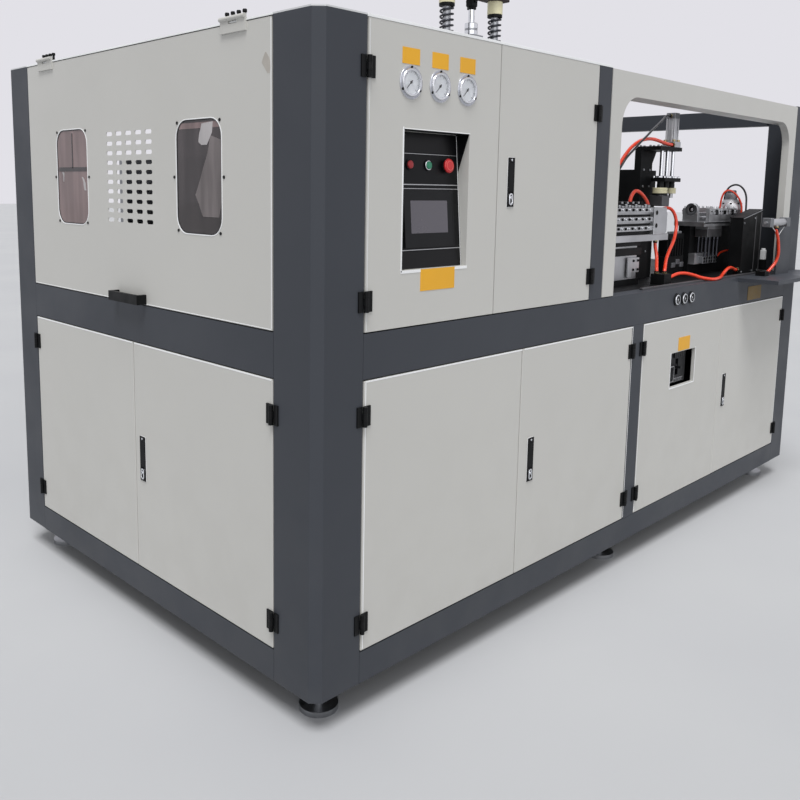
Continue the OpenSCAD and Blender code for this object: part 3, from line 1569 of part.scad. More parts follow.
module heating_station() color([0.55, 0.56, 0.58]) placed()
    translate([heat_u, heat_v, bed_z]) {
        cube([heat_l, heat_w, heat_base_h]);
        for (s = [0, 1])
            translate([0, s * (heat_w - lamp_box_t), heat_base_h + mount_clear]) {
                cube([heat_l, lamp_box_t, lamp_box_h]);
                for (i = [0:lamp_rows - 1])
                    translate([lamp_box_t, (1 - s) * lamp_box_t, (i + 1) * lamp_box_h / (lamp_rows + 1)])
                        rod_x(lamp_r, heat_l - 2 * lamp_box_t);
            }
        for (i = [0:mandrel_count - 1])
            translate([(i + 0.5) * heat_l / mandrel_count, heat_w / 2, heat_base_h + mount_clear])
                cylinder(r = mandrel_r, h = mandrel_h);
    }

// Transfer

lift_low_z = bed_z + lift_plate_z - lift_plate_t;
head_z = lift_low_z - lift_clear - lift_plate_t;
lift_edge_u = column_u + lift_plate_w;
head_v = column_v + column_d - lift_plate_d + head_d / 2;
rod_places = [for (k = [-2:0]) lift_edge_u - lift_rod_off + k * lift_rod_pitch];
beam_top_z = bed_z + beam_z;
beam_mid_v = block_v + beam_d / 2;
jaw_rest_v = block_v + jaw_edge;
jaw_rail_w = beam_d - 2 * (jaw_edge + jaw_t + jaw_travel + jaw_stop);
dome_u = beam_u + beam_l - dome_r - jaw_edge;

// The slanted gusset between the lift's column and its plate, seen from the front
module gusset()
    upright(column_d / 2)
        polygon([[0, 0], [lift_plate_w - 2 * lift_plate_t, 0], [column_w, -gusset_h], [0, -gusset_h]]);

// Black plates, columns and housings that stand on the bed
module transfer_brackets() color(colour_black) placed() {
    difference() {
        translate([column_u, column_v + column_d - lift_plate_d, lift_low_z])
            cube([lift_plate_w, lift_plate_d, lift_plate_t]);
        for (u = rod_places)
            translate([u, head_v, lift_low_z - over])
                cylinder(r = lift_rod_r + fit_clear, h = lift_plate_t + 2 * over);
    }
    translate([column_u, column_v, bed_z]) cube([column_w, column_d, lift_low_z - bed_z + over]);
    translate([column_u, column_v + column_d / 2, lift_low_z + over]) gusset();
    translate([column_u, column_v + column_d - over, bed_z])
        cube([lift_plate_w, lift_plate_d, drive_box_h]);
    translate([block_u + base_over, block_v + block_step, bed_z]) cube([block_end * 2, block_d / 2, base_t]);
    translate([beam_u + block_step, beam_mid_v, bed_z])
        cube([beam_l - 2 * block_step, beam_d / 2 - block_step, beam_z - beam_t]);
    translate([box_u, box_v, bed_z])
        upright(box_d) polygon([[0, 0], [box_l, 0], [box_l, box_high_h], [0, box_low_h]]);
    translate([column_u - block_end, block_v - block_step - box_d, bed_z])
        cube([grip_w, box_d, hose_block_h]);
    translate([shelf_block_u, bracket_v - shelf_t, upper_z]) cube([shelf_block_l, -bracket_v, shelf_block_h]);
}

// The lift's cylinder on its plate
module lift_cylinder()
    translate([lift_edge_u - lift_cyl_off, head_v, lift_low_z + lift_plate_t]) {
        cylinder(r = lift_cyl_r, h = lift_cyl_h);
        translate([-lift_foot_w / 2, -lift_foot_w / 2, 0]) cube([lift_foot_w, lift_foot_w, lift_cap_h]);
        translate([-lift_cap_w / 2, -lift_cap_w / 2, lift_cyl_h - lift_cap_h])
            cube([lift_cap_w, lift_cap_w, lift_cap_h]);
    }

// The slide block: a bored end plate and three bars beside it
module slide_block()
    difference() {
        translate([0, 0, -over]) {
            translate([0, block_step, 0]) cube([block_l, block_d - block_step, block_h + over]);
            translate([block_l - block_end, 0, 0]) cube([block_end, block_d, block_h + over]);
            for (k = [0:2])
                translate([0, over, (k + 0.5) * block_h / 3])
                    cube([block_l, block_step, block_h / 6]);
        }
        for (z = [block_h / 4, block_h * 3 / 4])
            translate([block_l - block_end * 2 / 3, -over, z]) rod_y(block_bore_r, block_d + 2 * over);
    }

// Light metal plates and blocks of the transfer
module transfer_plates() color(colour_steel) placed() {
    difference() {
        lift_cylinder();
        for (u = rod_places)
            translate([u, head_v, lift_low_z])
                cylinder(r = lift_rod_r + fit_clear, h = lift_plate_t + lift_travel + 2 * over);
    }
    translate([block_u, block_v, bed_z + block_rise]) slide_block();
    translate([block_u, block_v, bed_z + block_rise - base_t])
        cube([block_l + base_over, block_d, base_t]);
    translate([block_u + 2 * base_over, block_v + block_step, bed_z + base_t])
        cube([block_end * 2 - 2 * base_over, block_d / 2, block_rise - 2 * base_t + over]);
    translate([beam_u, block_v, beam_top_z - beam_t]) cube([beam_l, beam_d, beam_t]);
    translate([beam_u + block_step, beam_mid_v - bearing_w / 2, beam_top_z - over])
        difference() {
            union() {
                cube([bearing_t, bearing_w, bearing_h - bearing_w / 2 + over]);
                translate([0, bearing_w / 2, bearing_h - bearing_w / 2 + over])
                    rod_x(bearing_w / 2, bearing_t);
            }
            translate([-over, bearing_w / 2, bearing_h - bearing_w / 2 + over])
                rod_x(bearing_w / 4, bearing_t + 2 * over);
        }
    translate([beam_u + jaw_u, beam_mid_v - jaw_rail_w / 2, beam_top_z - over])
        cube([jaw_l, jaw_rail_w, jaw_h * 2 / 3 + over]);
    for (u = [jaw_l / 10, jaw_l * 9 / 10])
        translate([beam_u + jaw_u + u, jaw_rest_v, beam_top_z + jaw_h / 3])
            rod_y(jaw_rod_r, beam_d - 2 * jaw_edge);
    translate([dome_u, beam_mid_v, beam_top_z - over]) {
        cylinder(r = dome_r, h = dome_h + over);
        translate([0, 0, dome_h + over]) sphere(r = dome_r);
    }
    translate([beam_u + block_step, beam_mid_v - bearing_w / 2, bed_z + valve_h / 2])
        cube([jaw_l / 2, bearing_w / 2, valve_h / 2]);
    translate([beam_u + bearing_w, block_v + jaw_edge, beam_top_z - beam_t - valve_h / 2])
        cube([jaw_l / 2, bearing_w, valve_h / 2 + over]);
}

// The lift's moving plate with its rods, short cylinders, pale disc and gripping head
module transfer_lift() color([0.62, 0.62, 0.60]) placed() {
    translate([rod_places[1] - head_w / 2, head_v - head_d / 2, head_z]) cube([head_w, head_d, lift_plate_t]);
    for (u = rod_places)
        translate([u, head_v, head_z - hub_h]) {
            translate([0, 0, hub_h]) cylinder(r = lift_rod_r, h = lift_low_z + lift_plate_t - head_z);
            cylinder(r = hub_r, h = hub_h + over);
        }
    translate([rod_places[0], head_v, head_z - hub_h - disc_h]) {
        cylinder(r = disc_r, h = disc_h + over);
        translate([-grip_w / 2, -grip_w / 2, -grip_h]) cube([grip_w, grip_w, grip_h + over]);
    }
    translate([rod_places[2], head_v, head_z - hub_h - disc_h]) cylinder(r = small_disc_r, h = disc_h + over);
}

// A gripper jaw that slides across the beam on two rods; its outer face lies at v
module gripper_jaw(v)
    difference() {
        translate([beam_u + jaw_u, v, beam_top_z]) cube([jaw_l, jaw_t, jaw_h]);
        for (u = [jaw_l / 10, jaw_l * 9 / 10])
            translate([beam_u + jaw_u + u, v - over, beam_top_z + jaw_h / 3])
                rod_y(jaw_rod_r + fit_clear, jaw_t + 2 * over);
    }

module gripper_front() color([0.70, 0.70, 0.68]) placed() gripper_jaw(jaw_rest_v);
module gripper_rear() color([0.66, 0.66, 0.64]) placed() gripper_jaw(block_v + beam_d - jaw_edge - jaw_t);

// Hoses: points chosen by hand, along the front, inward and above the bed
hose_r = 7;
thin_hose_r = 4.5;
bed_hose = [[1993, 105, 14], [2012, 105, 14], [2045, 98, 28], [2082, 88, 38], [2122, 76, 38], [2160, 58, 30],
    [2196, 36, 18], [2250, 16, 10], [2300, 14, 10], [2360, 26, 12], [2412, 42, 17], [2452, 50, 27],
    [2496, 56, 38], [2541, 62, 41], [2590, 70, 34], [2622, 74, 26], [2645, 74, 26]];
head_hose = [[2100, 265, 290], [2100, 250, 290], [2122, 238, 292], [2150, 226, 298], [2178, 213, 308],
    [2204, 201, 306], [2222, 190, 284], [2226, 181, 248], [2206, 171, 208], [2162, 158, 166],
    [2108, 146, 132], [2062, 134, 102], [2018, 116, 76], [1992, 104, 62], [1982, 100, 54],
    [1982, 100, 44]];
drop_hose = [[2014, 165, 177], [2014, 165, 158], [2012, 160, 138], [2004, 150, 112], [1988, 140, 90],
    [1970, 130, 72], [1957, 122, 58], [1957, 122, 44]];
lift_hose = [[1280, 60, 480], [1280, 90, 480], [1330, 130, 470], [1460, 145, 456], [1600, 165, 456],
    [1680, 178, 466], [1728, 185, 488], [1764, 185, 519], [1811, 186, 551], [1869, 187, 576],
    [1931, 188, 589], [1985, 189, 592], [2040, 190, 588], [2095, 191, 581], [2140, 191, 577],
    [2172, 191, 577]];
top_hose = [[1265, 60, 430], [1265, 95, 430], [1320, 120, 424], [1460, 132, 420], [1600, 150, 424],
    [1660, 168, 438], [1714, 176, 467], [1755, 174, 507], [1812, 172, 545], [1866, 172, 578],
    [1915, 176, 602], [1960, 181, 624], [2030, 192, 652], [2101, 205, 681], [2128, 211, 694],
    [2152, 212, 700], [2180, 212, 700]];
arc_hose = [[1848, 200, 313], [1848, 200, 334], [1857, 200, 356], [1876, 200, 374], [1899, 200, 380],
    [1929, 200, 373], [1960, 200, 358], [1986, 200, 340], [1998, 200, 326], [1998, 200, 313]];
dome_hose = [[2812, 246, 245], [2812, 246, 290], [2811, 244, 330], [2810, 238, 360], [2811, 228, 381],
    [2816, 214, 390], [2824, 198, 386], [2836, 182, 370], [2848, 168, 345], [2855, 160, 315],
    [2856, 159, 280], [2856, 159, 245]];
loop_hose = [[2918, 274, 245], [2918, 274, 320], [2919, 270, 370], [2920, 258, 400], [2921, 240, 414],
    [2921, 220, 418], [2922, 200, 412], [2922, 180, 392], [2922, 168, 362], [2922, 165, 320],
    [2922, 165, 245]];
box_hose = [[2704, 221.5, 61], [2704, 211, 61], [2701, 197, 75], [2699, 182, 94], [2694, 160, 104],
    [2684, 142, 109], [2673, 130, 111], [2673, 120, 111]];
shelf_hose = [[2719, -60, 228], [2719, -60, 214], [2736, -60, 194], [2754, -60, 166], [2764, -60, 138],
    [2770, -60, 110], [2774, -56, 84], [2768, -50, 60], [2748, -41, 36], [2728, -33, 18], [2716, -30, 12],
    [2706, -30, 12]];

// Moves a route from its own corner to the bed of this machine
function on_bed(route) = [for (p = route) [p[0], p[1], p[2] + bed_z]];

module air_hoses() color(colour_orange) placed() {
    for (route = [bed_hose, head_hose, drop_hose, lift_hose, arc_hose, shelf_hose])
        swept_tube(on_bed(route), hose_r, 8);
    for (route = [top_hose, dome_hose, loop_hose, box_hose])
        swept_tube(on_bed(route), thin_hose_r, 8);
}

posts();
frame_rails();
levelling_feet();
bed_plate();
roof_plate();
hinge_mounts();
window_panel();
cladding_panels();
end_flap();
flap_panes();
flap_fittings();
upper_door_left();
upper_door_left_hinges();
control_plate();
touch_screen();
red_button();
green_button();
emergency_stop();
gauge_bodies();
gauge_needle_1();
gauge_needle_2();
gauge_needle_3();
yellow_plates();
upper_door_right();
upper_door_right_fittings();
upper_lock_lever();
lower_door_1();
lower_door_1_hinges();
lower_door_2();
lower_door_2_fittings();
lower_door_2_lever();
lower_door_3();
lower_door_3_hinges();
lower_door_4();
lower_door_4_fittings();
lower_door_4_lever();
end_door_left();
end_door_left_hinges();
end_door_right();
end_door_right_fittings();
end_door_lever();
electrics();
main_switch_lever();
rail_button_1();
rail_button_2();
rail_button_3();
shelf();
shelf_cylinder();
stretch_base();
stretch_springs();
stretch_plate();
clamp_frame();
moving_platen();
transfer_brackets();
transfer_plates();
transfer_lift();
gripper_front();
gripper_rear();
heating_station();
air_hoses();
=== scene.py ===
import math

import bmesh
import bpy
import numpy as np
from mathutils import Matrix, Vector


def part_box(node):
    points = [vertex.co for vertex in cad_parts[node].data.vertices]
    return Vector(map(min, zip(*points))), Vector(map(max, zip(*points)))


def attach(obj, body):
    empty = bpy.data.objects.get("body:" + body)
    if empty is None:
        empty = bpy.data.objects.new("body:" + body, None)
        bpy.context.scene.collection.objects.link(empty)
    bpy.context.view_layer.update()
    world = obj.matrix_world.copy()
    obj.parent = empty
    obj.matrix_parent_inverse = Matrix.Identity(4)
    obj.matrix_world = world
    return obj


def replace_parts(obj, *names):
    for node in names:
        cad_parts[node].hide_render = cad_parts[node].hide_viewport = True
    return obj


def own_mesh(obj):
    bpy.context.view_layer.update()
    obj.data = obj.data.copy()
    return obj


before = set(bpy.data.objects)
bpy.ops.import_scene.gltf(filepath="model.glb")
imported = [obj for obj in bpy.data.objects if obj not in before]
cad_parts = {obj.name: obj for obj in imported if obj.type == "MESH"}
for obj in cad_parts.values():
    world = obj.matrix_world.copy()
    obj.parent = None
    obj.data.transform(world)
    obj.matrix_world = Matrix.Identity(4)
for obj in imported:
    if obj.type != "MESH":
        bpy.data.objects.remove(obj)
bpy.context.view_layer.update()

# Sizes of the machine in millimetres: u runs along the front from the left end,
# v inward from the front face, z up from the floor
PLAN = np.array([1583, 803, 0])
BODY_W, ROOF_Z, BED_Z = 1780, 1860, 1063
LOWER_Z, MID_Z, UPPER_Z, TOP_Z = 190, 945, 1065, 1856
LOWER_MID_Z, UPPER_MID_Z = (LOWER_Z + MID_Z) / 2, (UPPER_Z + TOP_Z) / 2

# Directions on each face: along it, up it, and out of it
FRONT = np.array([[1, 0, 0], [0, 0, 1], [0, -1, 0]], float)
END = np.array([[0, -1, 0], [0, 0, 1], [-1, 0, 0]], float)
UP = np.array([[1, 0, 0], [0, 1, 0], [0, 0, 1]], float)
RECESS_LEFT, RECESS_RIGHT, RECESS_LOW, RECESS_TOP = 297, 565, UPPER_Z + 156, UPPER_Z + 526
PANEL_TILT = math.atan(30 / (RECESS_TOP - RECESS_LOW))
PANEL = np.array([[1, 0, 0], [0, math.sin(PANEL_TILT), math.cos(PANEL_TILT)],
        [0, -math.cos(PANEL_TILT), math.sin(PANEL_TILT)]])
PANEL_AT = np.array([RECESS_LEFT, 20, RECESS_LOW])


def row(points):
    """Machine millimetres turned into metres of the shared frame: (p - middle of the plan) / 1000."""
    return (np.asarray(points, float) - PLAN) / 1000


def solid_box(node):
    """Lowest and highest corner of one of the frame's solids, in machine millimetres."""
    return (np.array(corner) * 1000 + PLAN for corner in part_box(node))


def on_bed(u, v, z=0):
    """A point given by its height above the machine bed."""
    return np.array([u, v, BED_Z + z])


def on_panel(along, up, out=0):
    """A point of the leaning control plate, from its lower left corner."""
    return PANEL_AT + along * PANEL[0] + up * PANEL[1] + out * PANEL[2]


# Camera at the photograph's place, angle and framing

def make_camera():
    """The camera looks along (sin a cos b, cos a cos b, sin b), rolled by c about that line."""
    turn, rise, roll = 0.7811, -0.1389, 0.0146
    ahead = np.array([math.sin(turn) * math.cos(rise), math.cos(turn) * math.cos(rise), math.sin(rise)])
    right = np.array([math.cos(turn), -math.sin(turn), 0])
    over = np.cross(right, ahead)
    side = right * math.cos(roll) + over * math.sin(roll)
    top = over * math.cos(roll) - right * math.sin(roll)
    data = bpy.data.cameras.new("camera")
    data.lens, data.sensor_width = 38.468, 36
    data.shift_x, data.shift_y = 0.0338, -0.1145
    data.clip_end = 200
    camera = bpy.data.objects.new("camera", data)
    matrix = np.eye(4)
    matrix[:3, 0], matrix[:3, 1], matrix[:3, 2] = side, top, -ahead
    matrix[:3, 3] = (-2.9299, -2.3554, 1.4352)
    camera.matrix_world = Matrix(matrix.tolist())
    bpy.context.collection.objects.link(camera)
    bpy.context.scene.camera = camera


make_camera()


# Shape functions: each gives (points in machine millimetres, faces)

def grid_faces(rings, sides, closed):
    """Quads between neighbouring rings of points; closed joins the last ring to the first."""
    i = np.arange(rings if closed else rings - 1)[:, None]
    k = np.arange(sides)[None, :]
    a, b = i * sides + k, i * sides + (k + 1) % sides
    c, d = (i + 1) % rings * sides + (k + 1) % sides, (i + 1) % rings * sides + k
    return np.stack([a, b, c, d], -1).reshape(-1, 4).tolist()


def skin(rings, closed=False):
    """A skin over rings of points (n, m, 3), with flat caps at its two ends unless it is closed."""
    n, m = rings.shape[:2]
    faces = grid_faces(n, m, closed)
    if not closed:
        faces += [list(range(m))[::-1], list(range((n - 1) * m, n * m))]
    return rings.reshape(-1, 3), faces


def circle(radius, sides=48):
    """Outline (r - inset)(cos a, sin a)."""
    a = np.arange(sides) * 2 * math.pi / sides
    return lambda inset: (radius - inset) * np.stack([np.cos(a), np.sin(a)], -1)


def rounded(w, h, r=0, steps=6):
    """Outline of a rectangle w by h with corner arcs of radius r, all moved in by inset."""
    if r <= 0:
        return lambda inset: np.array([[1, 1], [-1, 1], [-1, -1], [1, -1]]) * [w / 2 - inset, h / 2 - inset]
    a = np.concatenate([np.linspace(q, q + 90, steps + 1) for q in (0, 90, 180, 270)]) * math.pi / 180
    sign = np.repeat([[1, 1], [-1, 1], [-1, -1], [1, -1]], steps + 1, 0)
    arc = np.stack([np.cos(a), np.sin(a)], -1)
    return lambda inset: sign * [w / 2 - r, h / 2 - r] + arc * max(r - inset, 0.01)


def carried(outline, rings, at, axes, closed=False):
    """P(i, s) = at + x(s, inset_i) along + y(s, inset_i) up + depth_i out, for rings (inset, depth).
    An outline given as sizes (w, h, r) is a rounded rectangle."""
    outline = rounded(*outline) if isinstance(outline, tuple) else outline
    flat = np.stack([outline(inset) for inset, _ in rings])
    depth = np.array([d for _, d in rings], float)[:, None, None]
    points = np.asarray(at, float) + flat[..., :1] * axes[0] + flat[..., 1:] * axes[1] + depth * axes[2]
    return skin(points, closed)


def turned(profile, at, axes, sides=48):
    """A turned part: P(i, a) = at + r_i (cos a along + sin a up) + h_i out, for a profile of (r, h)."""
    return carried(circle(0, sides), [(-r, h) for r, h in profile], at, axes)


def slab(outline, t, at, axes, ease=0.6, low=0):
    """A plate of thickness t over an outline, with both rims eased by a 45 degree chamfer."""
    return carried(outline, [(ease, low), (0, low + ease), (0, low + t - ease), (ease, low + t)], at, axes)


def ring(outer, inner, low, high, at, axes, ease=0.8, sides=48):
    """A turned ring between two radii, from low to high along the axis, with its outer rims eased."""
    return carried(circle(outer, sides), [(0, low + ease), (0, high - ease), (ease, high),
            (outer - inner, high), (outer - inner, low), (ease, low)], at, axes, closed=True)


def bevelled(w, h, cut_w, cut_h):
    """Outline of a plate w by h with its two right-hand corners cut by cut_w and cut_h."""
    corners = np.array([[w / 2, h / 2 - cut_h], [w / 2 - cut_w, h / 2], [-w / 2, h / 2], [-w / 2, -h / 2],
            [w / 2 - cut_w / 2, -h / 2], [w / 2, -h / 2 + cut_h / 2]])
    return lambda inset: corners * [1 - 2 * inset / w, 1 - 2 * inset / h]


def flat_sheet(corners, t, at, axes):
    """A flat sheet of thickness t over a polygon's corners: at + x along + y up, and the same t out."""
    flat = np.array(corners, float)
    under = np.asarray(at, float) + flat[:, :1] * axes[0] + flat[:, 1:] * axes[1]
    return skin(np.stack([under, under + t * axes[2]]))


def hexagon(across):
    """Outline of a hexagon, given its size across the flats."""
    return circle(across / math.sqrt(3), 6)


def screw_heads(places, axes, r=5, h=5):
    """Turned heads of socket screws with an eased rim, on the surface at their feet."""
    return [carried(circle(r, 20), [(0, -0.4), (0, h - 0.8), (0.8, h), (r * 0.45, h)], at, axes)
            for at in places]


def screw_sockets(places, axes, r=5, h=5):
    """Sunk hexagons in the heads of the same screws."""
    return [slab(hexagon(r * 0.8), 0.3, at, axes, 0.05, h - 0.1) for at in places]


def smooth_path(points, step):
    """Catmull-Rom curve: on each span the cubic (2 p1 + (p2 - p0) t + (2 p0 - 5 p1 + 4 p2 - p3) t^2
    + (3 p1 - p0 - 3 p2 + p3) t^3) / 2, then spread out evenly by length."""
    p = np.asarray(points, float)
    p = np.concatenate([[2 * p[0] - p[1]], p, [2 * p[-1] - p[-2]]])
    t = np.linspace(0, 1, 24, endpoint=False)[None, :, None]
    p0, p1, p2, p3 = (p[k:len(p) - 3 + k, None] for k in range(4))
    fine = 0.5 * (2 * p1 + (p2 - p0) * t + (2 * p0 - 5 * p1 + 4 * p2 - p3) * t ** 2
            + (3 * p1 - p0 - 3 * p2 + p3) * t ** 3)
    fine = np.concatenate([fine.reshape(-1, 3), p[-2:-1]])
    along = np.concatenate([[0], np.cumsum(np.linalg.norm(np.diff(fine, axis=0), axis=1))])
    at = np.linspace(0, along[-1], max(int(along[-1] / step), 4) + 1)
    return np.stack([np.interp(at, along, fine[:, k]) for k in range(3)], -1)


def tube(path, radius, sides=12):
    """P(i, a) = path_i + radius_i (cos a n_i + sin a b_i), n square to the path and nearest to the
    direction that the path follows least."""
    path = np.asarray(path, float)
    along = np.gradient(path, axis=0)
    along /= np.linalg.norm(along, axis=1, keepdims=True)
    least = np.linalg.svd(along, full_matrices=False)[2][-1]
    n = least - (along @ least)[:, None] * along
    n /= np.linalg.norm(n, axis=1, keepdims=True)
    b = np.cross(along, n)
    a = (np.arange(sides) * 2 * math.pi / sides)[None, :, None]
    r = np.broadcast_to(np.asarray(radius, float), len(path))[:, None, None]
    return skin(path[:, None] + r * (np.cos(a) * n[:, None] + np.sin(a) * b[:, None]))


def piece(name, blocks, material, body="frame", crease=35):
    """One mesh object from blocks in machine millimetres, in metres at the origin, riding on a body."""
    blocks = [blocks] if isinstance(blocks, tuple) else list(blocks)
    points, faces, start = [], [], 0
    for block_points, block_faces in blocks:
        points.append(block_points)
        faces += [[i + start for i in face] for face in block_faces]
        start += len(block_points)
    mesh = bpy.data.meshes.new(name)
    mesh.from_pydata(row(np.concatenate(points)).tolist(), [], faces)
    form = bmesh.new()
    form.from_mesh(mesh)
    bmesh.ops.remove_doubles(form, verts=form.verts, dist=2e-6)
    bmesh.ops.recalc_face_normals(form, faces=form.faces)
    for face in form.faces:
        face.smooth = True
    for edge in form.edges:
        edge.smooth = edge.calc_face_angle(0) < math.radians(crease)
    form.to_mesh(mesh)
    form.free()
    made = bpy.data.objects.new(name, mesh)
    made.data.materials.append(material)
    bpy.context.collection.objects.link(made)
    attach(made, body)
    return made


# Materials

def srgb(r, g, b):
    """Linear colour of an sRGB colour given from 0 to 255."""
    c = np.array([r, g, b]) / 255
    linear = np.where(c <= 0.04045, c / 12.92, ((c + 0.055) / 1.055) ** 2.4)
    return tuple(float(x) for x in linear) + (1,)


def shade(colour, k):
    """A colour made lighter or darker by the factor k."""
    return tuple(min(c * k, 1) for c in colour[:3]) + (1,)


class Finish:
    """A material's nodes: a principled shader whose colour, roughness and bump are built up in steps."""

    def __init__(self, name, **sockets):
        self.material = bpy.data.materials.new(name)
        self.material.use_nodes = True
        self.tree = self.material.node_tree
        self.tree.nodes.clear()
        self.shader = self.tree.nodes.new("ShaderNodeBsdfPrincipled")
        out = self.tree.nodes.new("ShaderNodeOutputMaterial")
        self.tree.links.new(self.shader.outputs[0], out.inputs["Surface"])
        self.place = self.tree.nodes.new("ShaderNodeTexCoord").outputs["Object"]
        for socket, value in sockets.items():
            self.shader.inputs[socket.replace("_", " ")].default_value = value

    def node(self, kind, links=(), **values):
        """A node with its inputs set by number or name, and links as (input, output socket)."""
        made = self.tree.nodes.new("ShaderNode" + kind)
        for key, value in values.items():
            if hasattr(made, key):
                setattr(made, key, value)
            else:
                made.inputs[key].default_value = value
        for key, socket in links:
            self.tree.links.new(socket, made.inputs[key])
        return made

    def noise(self, scale, detail=3, stretch=None):
        """Noise from 0 to 1 on Object coordinates, scaled by stretch along the three axes."""
        place = self.place
        if stretch:
            place = self.node("Mapping", [("Vector", place)], Scale=stretch).outputs[0]
        return self.node("TexNoise", [("Vector", place)], Scale=scale, Detail=detail).outputs["Fac"]

    def ramp(self, factor, low, high, start=0.3, end=0.7):
        """A value that goes from low to high while the factor goes from start to end."""
        span = {"From Min": start, "From Max": end, "To Min": low, "To Max": high}
        return self.node("MapRange", [("Value", factor)], **span).outputs[0]

    def mixed(self, factor, first, second):
        """A colour between first and second, each a colour or another colour's socket."""
        pair = {6: first, 7: second}
        made = self.node("Mix", [(0, factor)] + [(k, v) for k, v in pair.items()
                if not isinstance(v, tuple)], data_type="RGBA")
        for key, value in pair.items():
            if isinstance(value, tuple):
                made.inputs[key].default_value = value
        return made.outputs[2]

    def tone(self, scale, detail, colour, spread):
        """A colour that changes slowly from place to place, down and up by spread."""
        pattern = self.ramp(self.noise(scale, detail), 0, 1)
        return self.mixed(pattern, shade(colour, 1 - spread), shade(colour, 1 + spread))

    def colour(self, socket):
        """The socket's value as base colour."""
        self.tree.links.new(socket, self.shader.inputs["Base Color"])

    def rough(self, socket):
        """The socket's value as roughness."""
        self.tree.links.new(socket, self.shader.inputs["Roughness"])

    def bump(self, heights):
        """Bump from pairs of (height from 0 to 1, its size in metres)."""
        normal = None
        for height, size in heights:
            links = [("Height", height)] + ([("Normal", normal)] if normal else [])
            made = self.node("Bump", links, Strength=1, Distance=size)
            normal = made.outputs[0]
        self.tree.links.new(normal, self.shader.inputs["Normal"])
        return self


def paint(name, colour, rough, peel=0.00006, dust=0.5, spread=0.04, gloss=0.4):
    """Sprayed enamel: slow changes of tone, dust that thickens towards the floor, and orange peel."""
    f = Finish(name, Specular_IOR_Level=gloss)
    tone = f.tone(1.7, 4, colour, spread)
    height = f.node("SeparateXYZ", [("Vector", f.place)]).outputs["Z"]
    low = f.ramp(height, dust, 0, 0.1, 0.9)
    speck = f.ramp(f.noise(9, 6), 0.15, 1, 0.42, 0.62)
    amount = f.node("Math", [(0, low), (1, speck)], operation="MULTIPLY").outputs[0]
    f.colour(f.mixed(amount, tone, shade(srgb(150, 145, 136), 0.9)))
    f.rough(f.ramp(f.noise(4.3, 5), rough - 0.06, rough + 0.09, 0.35, 0.65))
    return f.bump([(f.noise(420, 2), peel)]).material


def hinge_paint(name, low, high, edge):
    """Black enamel below a height and the sheet's pale enamel above it, as on the flap's own hinges."""
    f = Finish(name, Specular_IOR_Level=0.18)
    height = f.node("SeparateXYZ", [("Vector", f.place)]).outputs["Z"]
    tone = f.mixed(f.ramp(f.noise(18, 4), 0, 1), shade(low, 0.85), shade(low, 1.2))
    f.colour(f.mixed(f.ramp(height, 0, 1, edge - 0.001, edge + 0.001), tone, high))
    f.rough(f.ramp(f.noise(30, 5), 0.38, 0.54))
    return f.bump([(f.noise(400, 2), 0.00005)]).material


def metal(name, colour, rough, lines=None, grain=0.00003, spread=0.1, scale=30):
    """Bare metal: tone and gloss that change slowly, with fine tool lines across one direction."""
    f = Finish(name, Metallic=1)
    f.colour(f.tone(scale / 4, 4, colour, spread))
    f.rough(f.ramp(f.noise(scale, 5), rough - 0.04, rough + 0.06, 0.3, 0.7))
    return f.bump([(f.noise(scale * 8, 3, lines or (1, 1, 1)), grain)]).material


def plastic(name, colour, rough, coat=0, grain=0.00002, spread=0.05, scale=60, gloss=0.5):
    """Moulded plastic or rubber: a fine grain, a little change of tone, and gloss that varies."""
    f = Finish(name, Coat_Weight=coat, Coat_Roughness=0.08, Specular_IOR_Level=gloss)
    f.colour(f.tone(scale / 6, 3, colour, spread))
    f.rough(f.ramp(f.noise(scale / 3, 4), rough - 0.05, rough + 0.08, 0.3, 0.7))
    return f.bump([(f.noise(scale * 12, 2), grain)]).material


def pane(name, colour, rough, see, folds=0.06):
    """Tinted sheet plastic, clear in see of its light, with upright bands of painted light and shade for its
    folds, and faint wipe marks.
    """
    f = Finish(name, IOR=1.45, Transmission_Weight=see, Specular_IOR_Level=0.4)
    # Lighter and darker upright bands paint the light and shade of the sheet's folds.
    upright = f.ramp(f.noise(5, 4, (4, 4, 0.5)), 0, 1, 0.36, 0.66)
    f.colour(f.mixed(upright, shade(colour, 1 - folds), shade(colour, 1 + folds)))
    f.rough(f.ramp(f.noise(14, 6, (1, 0.4, 0.15)), rough, rough + 0.10, 0.45, 0.75))
    return f.bump([(f.noise(3, 3), 0.0004)]).material


PAINT_DARK = paint("dark_frame_enamel", srgb(62, 65, 71), 0.46, dust=0.03, spread=0.05, gloss=0.22)
PAINT_PALE = paint("pale_panel_enamel", srgb(193, 192, 188), 0.46, dust=0.08, spread=0.016)
# The roof sheet is whiter than the panels: a painted highlight along the roof's edge.
PAINT_ROOF_HIGHLIGHT = paint("roof_enamel_painted_highlight", srgb(206, 207, 209), 0.46, dust=0, spread=0.02)
BLACK_METAL = plastic("blackened_steel", srgb(13, 14, 15), 0.50, spread=0.25, gloss=0.15)
HINGE = hinge_paint("hinge_enamel", srgb(13, 14, 15), srgb(193, 192, 188), 1.80)
# Black nylon of real parts; the same black also paints the shade in the flap's lower gap.
BLACK_PART = plastic("black_nylon_and_gap_shade", srgb(18, 19, 21), 0.42, grain=0.00004, gloss=0.22)
